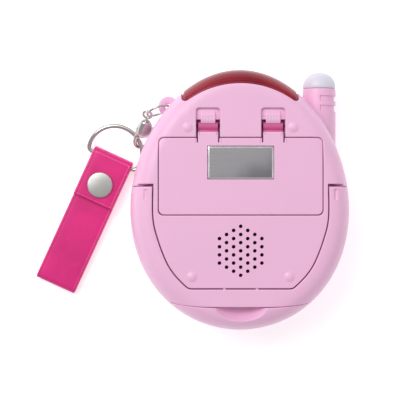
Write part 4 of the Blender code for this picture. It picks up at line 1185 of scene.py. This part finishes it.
# %% Screen surround and buttons
surround = bmesh.new()
section = ((0.9, 0.05), (0.45, 0.25), (0.12, 0.6), (0.0, 1.0), (0.0, 4.4), (2.8, 4.4), (2.8, 0.75),
           (2.72, 0.45), (2.45, 0.2), (2.0, 0.02), (1.4, 0.0))
grow(surround, [level(oval(22.0 - inset, 18.0 - inset), z) for inset, z in section], closed=True)
finish_piece("screen_frame", surround, white_plastic, "casing", ("screen_surround",))

edge = ((0.3, 1.0), (0.08, 1.08), (0.0, 1.3), (0.0, 2.2))
lens = slab([level(oval(19.0 - inset, 15.0 - inset), z) for inset, z in edge])
finish_piece("lens", lens, lens_clear, "casing", ("screen_lens",))

button_profile = [(0.0, 1.5), (1.4, 1.53), (2.4, 1.62), (3.0, 1.82), (3.3, 2.15), (3.4, 2.6), (3.4, 6.2),
                  (3.8, 6.2), (3.8, 6.8), (0.0, 6.8)]
for name, (x, y) in BUTTONS.items():
    turned_piece(f"button_cap_{name}", button_profile, (x, y, 0.0), (0, 0, 1), white_plastic,
                 f"{name}_button",
                 (f"button_{name}",), 48)

# %% [markdown]
# ## Wire goods
# The ring, the eye, the hook and the D-ring are bent wire. Each is a round section carried along its
# path, with many steps so that the bends stay smooth in close views.


# %% Bent wire
def wire(bm, path, radius, closed=False, sides=20, up=Vector((0, 0, 1)), radii=None):
    """A round section carried along a path."""
    count = len(path)
    rings = []
    for index, point in enumerate(path):
        before = path[(index - 1) % count] if closed or index else point
        after = path[(index + 1) % count] if closed or index < count - 1 else point
        along = (after - before).normalized()
        side = along.cross(up).normalized()
        above = side.cross(along)
        size = radii[index] if radii else radius
        turns = np.linspace(0.0, 2 * math.pi, sides + 1)[:-1]
        rings.append([point + side * size * math.cos(t) + above * size * math.sin(t) for t in turns])
    ends = grow(bm, rings, closed)
    if not closed:
        cap_ends(bm, ends)


EYELET = Vector((-24.7, 32.4, 14.4))
RING_ANGLE = math.radians(200.7)
OUTWARDS = Vector((math.cos(RING_ANGLE), math.sin(RING_ANGLE), 0.0))
UP = Vector((0, 0, 1))
RING_RADIUS, RING_WIRE, RING_TILT = 3.95, 0.4, math.radians(13.0)

lug_profile = [(1.05, 13.4), (1.2, 13.2), (3.3, 13.2), (3.5, 13.4), (3.5, 15.1), (3.42, 15.35), (3.2, 15.55),
               (2.9, 15.6), (1.3, 15.6), (1.1, 15.5), (1.05, 15.3), (1.05, 13.4)]
turned_piece("eyelet_lug", lug_profile, (EYELET.x, EYELET.y, 0.0), (0, 0, 1), pink_plastic, "casing",
             (), 48, SHARP)

ring_centre = EYELET + OUTWARDS * (RING_RADIUS - 0.1)
lean = UP * math.cos(RING_TILT) + OUTWARDS.cross(UP) * math.sin(RING_TILT)
ring = bmesh.new()
wire(ring, [ring_centre + (OUTWARDS * math.cos(t) + lean * math.sin(t)) * RING_RADIUS
            for t in np.linspace(0, 2 * math.pi, 97)[:-1]], RING_WIRE, True, 16, OUTWARDS.cross(lean))
finish_piece("ring", ring, nickel, "split_ring", ("jump_ring",))

# %% [markdown]
# The clasp hangs from the ring on a swivel: an eye on a short neck, free to turn in a bell-shaped body.
# The body ends in the hook, which the sprung gate closes. All of it is drawn in the clasp's own frame,
# where X is across it, Y runs towards the hook and Z is its thickness.

# %% Clasp
HEADING = Vector((-0.259, -0.966, 0.0)).normalized()
TILT, ROLL = math.radians(46.0), math.radians(-30.0)
GATE_PIN = Vector((2.15, 7.9, 0.0))
eye_at = EYELET + OUTWARDS * (2 * RING_RADIUS - 0.1)
ahead = (HEADING * math.cos(TILT) - UP * math.sin(TILT)).normalized()
flat_side = HEADING.cross(UP) * -1
above = flat_side.cross(ahead) * -1
clasp_side = flat_side * math.cos(ROLL) + above * math.sin(ROLL)
normal = clasp_side.cross(ahead) * -1
eye_turn = Matrix((flat_side, ahead, above)).transposed()
clasp_turn = Matrix((clasp_side, ahead, normal)).transposed()


def put(bm, turn, place):
    for vert in bm.verts:
        vert.co = place + turn @ vert.co


eye = bmesh.new()
wire(eye, [Vector((1.5 * math.cos(t), 1.5 * math.sin(t), 0)) for t in np.linspace(0, 2 * math.pi, 49)[:-1]],
     0.42, True, 16)
wire(eye, [Vector((0, y, 0)) for y in np.linspace(1.5, 4.6, 8)], 0.5, False, 20)
put(eye, eye_turn, eye_at)
finish_piece("swivel", eye, nickel, "swivel", ("swivel_eye",))

body = bmesh.new()
sections = ((0.75, 0.75, 2.95), (1.0, 0.98, 3.0), (1.25, 1.15, 3.1), (1.5, 1.35, 3.3), (1.8, 1.55, 3.7),
            (2.25, 1.85, 4.6), (2.6, 2.0, 5.6), (2.9, 2.1, 6.8), (3.06, 2.1, 7.8), (3.1, 2.05, 8.6),
            (3.05, 1.95, 9.2), (2.9, 1.8, 9.6), (2.6, 1.5, 9.8))
rings = [[(x, y, z) for x, z in oval(half_x, half_z, 40, 2.5, (0.0, 0.0))] for half_x, half_z, y in sections]
cap_ends(body, grow(body, rings))
hook_path = smooth_line([(-2.1, 8.8, 0), (-2.75, 11.0, 0), (-2.6, 13.6, 0), (-1.5, 15.5, 0), (0.2, 16.1, 0),
                         (1.8, 15.4, 0), (2.6, 13.9, 0)], 10)
wire(body, hook_path, 0.65, False, 20,
     radii=[0.65 + 0.25 * max(0.0, 1 - k / 14) - 0.16 * max(0.0, (k - 52) / 8)
            for k in range(len(hook_path))])
pin_profile = [(0.0, -1.62), (0.42, -1.6), (0.5, -1.5), (0.5, 1.5), (0.42, 1.6), (0.0, 1.62)]
lathe(body, pin_profile, GATE_PIN, (0, 0, 1), 20)
put(body, clasp_turn, eye_at)
finish_piece("clasp", body, nickel, "clasp", ("clasp_body", "gate_pin"))

lever = [(3.0, -0.9), (3.7, -0.2), (3.55, 0.5), (2.6, 0.75), (0.95, 1.1), (0.8, 2.6), (0.95, 4.9), (0.5, 5.1),
         (0.05, 5.0), (-0.1, 2.6), (-0.35, 0.6), (-0.4, -0.9)]
outline = oriented(resample(lever, 0.4))
edge = ((0.12, -0.5), (0.0, -0.38), (0.0, 0.38), (0.12, 0.5))
gate = slab([level(offset(outline, inset), z) for inset, z in edge])
put(gate, clasp_turn, eye_at + clasp_turn @ GATE_PIN)
finish_piece("gate", gate, nickel, "gate", ("clasp_gate",))

# %% [markdown]
# ## The D-ring
# The D-ring's straight bar lies inside the strap's fold and its bow rises to the clasp. It is one
# closed wire with a tight bend at each corner.

# %% D-ring
DOWN = Vector((-0.4156, -0.9096, 0.0)).normalized()
ACROSS = Vector((-DOWN.y, DOWN.x, 0.0))
BAR = Vector((-45.3, 14.2, 2.5))
strap_turn = Matrix((DOWN, ACROSS, UP)).transposed()
D_RADIUS, D_WIRE, D_BAR, D_TILT = 9.75, 0.8, 2.9, math.radians(12.5)


def d_path():
    start = math.radians(-8.0)
    bow = [Vector((-D_BAR - D_RADIUS * math.sin(t), D_RADIUS * math.cos(t), 0))
           for t in np.linspace(start, math.pi - start, 90)]
    corner = math.sqrt(D_RADIUS ** 2 - D_BAR ** 2)
    path = list(bow)
    for side in (-1, 1):
        edge = bow[-1] if side < 0 else bow[0]
        knee, bar = Vector((0, side * corner, 0)), Vector((0, side * 7.7, 0))
        curve = [edge * (1 - t) ** 2 + knee * 2 * t * (1 - t) + bar * t * t
                 for t in np.linspace(0.1, 1.0, 10)]
        path += curve if side < 0 else curve[::-1]
        if side < 0:
            path += [Vector((0, y, 0)) for y in np.linspace(-7.0, 7.0, 15)]
    return path


d_ring = bmesh.new()
wire(d_ring, d_path(), D_WIRE, True, 20)
put(d_ring, strap_turn @ Matrix.Rotation(D_TILT, 3, "Y"), BAR)
finish_piece("d_ring_wire", d_ring, nickel, "d_link", ("d_ring",))

# %% [markdown]
# ## The strap
# One strip of synthetic leather makes the strap: from under the flap it runs down the front, folds, comes
# back up behind, goes round the D-ring's bar and ends in the flap. Its long edges are turned and rounded.
# The strip is one band on the strap's body. The flap is a second band, which starts over the D-ring's bar.

# %% Strap
STRAP_WIDTH, STRAP_THICK, STRAP_END, FLAP_END = 15.0, 1.2, 49.3, 16.4
BACK_LAYER, FRONT_LAYER, FLAP_LAYER, SNAP_AT = -1.8, 0.3, 1.8, 9.8


def band_section():
    """Half of the width and thickness in turn: flat faces, a slight crease inside each turned edge."""
    half, thick = STRAP_WIDTH / 2, STRAP_THICK / 2
    upper = [(-half + thick * (1 - math.cos(t)) * 0.9, thick * math.sin(t))
             for t in np.linspace(0.0, math.pi / 2, 6)]
    upper += [(-half + 0.85, thick - 0.01), (-half + 1.0, thick - 0.07), (-half + 1.15, thick - 0.05),
              (-half + 1.5, thick - 0.01), (-half + 3.0, thick)]
    upper += [(0.0, thick)] + [(-b, a) for b, a in upper[::-1]]
    return upper + [(b, -a) for b, a in upper[::-1][1:-1]]


def band(path, groove_at=None):
    """The section carried along a path in the strap's plane, given as (down, up) pairs."""
    bm = bmesh.new()
    rings = []
    for index, (u, z) in enumerate(path):
        before, after = path[max(index - 1, 0)], path[min(index + 1, len(path) - 1)]
        along = Vector((after[0] - before[0], after[1] - before[1])).normalized()
        end = min(1.0, (len(path) - 1 - index) * 0.25 + 0.35) if groove_at else 1.0
        ring = []
        for b, a in band_section():
            sunk = 0.09 * math.exp(-((u - groove_at) / 0.16) ** 2) if groove_at and a > 0 else 0.0
            a = (a - sunk) * end
            ring.append((u - along.y * a, b, z + along.x * a))
        rings.append(ring)
    cap_ends(bm, grow(bm, rings))
    return bm


def band_path():
    bend = (FRONT_LAYER - BACK_LAYER) / 2
    bend_u, middle = STRAP_END - bend - STRAP_THICK / 2, (FRONT_LAYER + BACK_LAYER) / 2
    path = [(u, FRONT_LAYER) for u in np.linspace(2.4, bend_u - 0.8, 40)]
    path += [(bend_u + bend * math.cos(t), middle + bend * math.sin(t))
             for t in np.linspace(math.pi / 2, -math.pi / 2, 21)]
    path += [(u, BACK_LAYER) for u in np.linspace(bend_u - 0.8, 1.0, 36)]
    path += [(FLAP_LAYER * math.cos(t), FLAP_LAYER * math.sin(t))
             for t in np.linspace(-math.pi / 2, -3 * math.pi / 2, 33)]
    return path


strap_bm = band(band_path())
put(strap_bm, strap_turn, BAR)
strap_piece = finish_piece("strap_strip", strap_bm, strap_leather, "strap", ("strap_band",),
                           sharp=60.0)
flap_path = [(u, FLAP_LAYER) for u in list(np.linspace(0.0, FLAP_END - 1.6, 30))
             + list(np.linspace(FLAP_END - 1.5, FLAP_END, 14))]
flap_bm = band(flap_path, FLAP_END - 0.95)
put(flap_bm, strap_turn, BAR)
flap_piece = finish_piece("strap_flap_end", flap_bm, strap_leather,
                          None, ("strap_flap",), sharp=60.0)


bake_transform(flap_piece)

# %% [markdown]
# ## The snap cap
# The cap is pressed from thin steel: a rolled rim round a low dome with a satin polish.

# %% Snap cap
cap = bmesh.new()
cap_profile = [(0.0, 2.5), (4.1, 2.5), (4.4, 2.58), (4.54, 2.76), (4.56, 2.95), (4.52, 3.12), (4.4, 3.27),
               (4.2, 3.36), (4.0, 3.39), (3.8, 3.41), (3.2, 3.47), (2.5, 3.53), (1.7, 3.57), (0.9, 3.59),
               (0.0, 3.6)]
lathe(cap, cap_profile, (SNAP_AT, 0, 0), (0, 0, 1), 72)
put(cap, strap_turn, BAR)
finish_piece("snap_button", cap, satin_nickel, "flap", ("snap_cap",), sharp=60.0)

# %% [markdown]
# ## Table and light
# The toy is shown on plain white, lit by a large soft box at the upper left, a long one beyond its top and
# a weak one at the right, with white all round. The floor
# glows faintly, as a lit sweep does, so shadows stay light.

# %% Floor, lights and world
floor_bm = bmesh.new()
bmesh.ops.create_grid(floor_bm, x_segments=1, y_segments=1, size=3.0)
floor_mesh = bpy.data.meshes.new("floor")
floor_bm.to_mesh(floor_mesh)
floor_bm.free()
floor = bpy.data.objects.new("floor", floor_mesh)
floor.location.z = min(cad_box[0][2], 0.0) - 0.02 * MM
bpy.context.scene.collection.objects.link(floor)
sweep = Finish("white sweep", roughness=0.9, emission_strength=0.45)
sweep.shader.inputs["Emission Color"].default_value = (1, 1, 1, 1)
sweep.feed(Base_Color=sweep.blend(sweep.noise(3.0), (0.88, 0.88, 0.88, 1), (0.9, 0.9, 0.9, 1)))
floor_mesh.materials.append(sweep.material)


def soft_box(name, place, size, power):
    light = bpy.data.lights.new(name, "AREA")
    light.shape = "RECTANGLE"
    light.size, light.size_y = size
    light.energy = power
    lamp = bpy.data.objects.new(name, light)
    lamp.location = place
    lamp.rotation_euler = (TOY - Vector(place)).to_track_quat("-Z", "Y").to_euler()
    bpy.context.scene.collection.objects.link(lamp)


soft_box("key", (-0.45, 0.42, 0.75), (0.6, 0.6), 5.0)
soft_box("fill", (0.7, -0.2, 0.7), (0.6, 0.6), 0.5)
soft_box("top", (0.05, 0.5, 0.95), (0.8, 0.3), 1.4)
world = bpy.data.worlds.new("studio")
bpy.context.scene.world = world
world.use_nodes = True
world.node_tree.nodes["Background"].inputs["Color"].default_value = (1, 1, 1, 1)
world.node_tree.nodes["Background"].inputs["Strength"].default_value = 0.44
bpy.context.scene.view_settings.view_transform = "Standard"
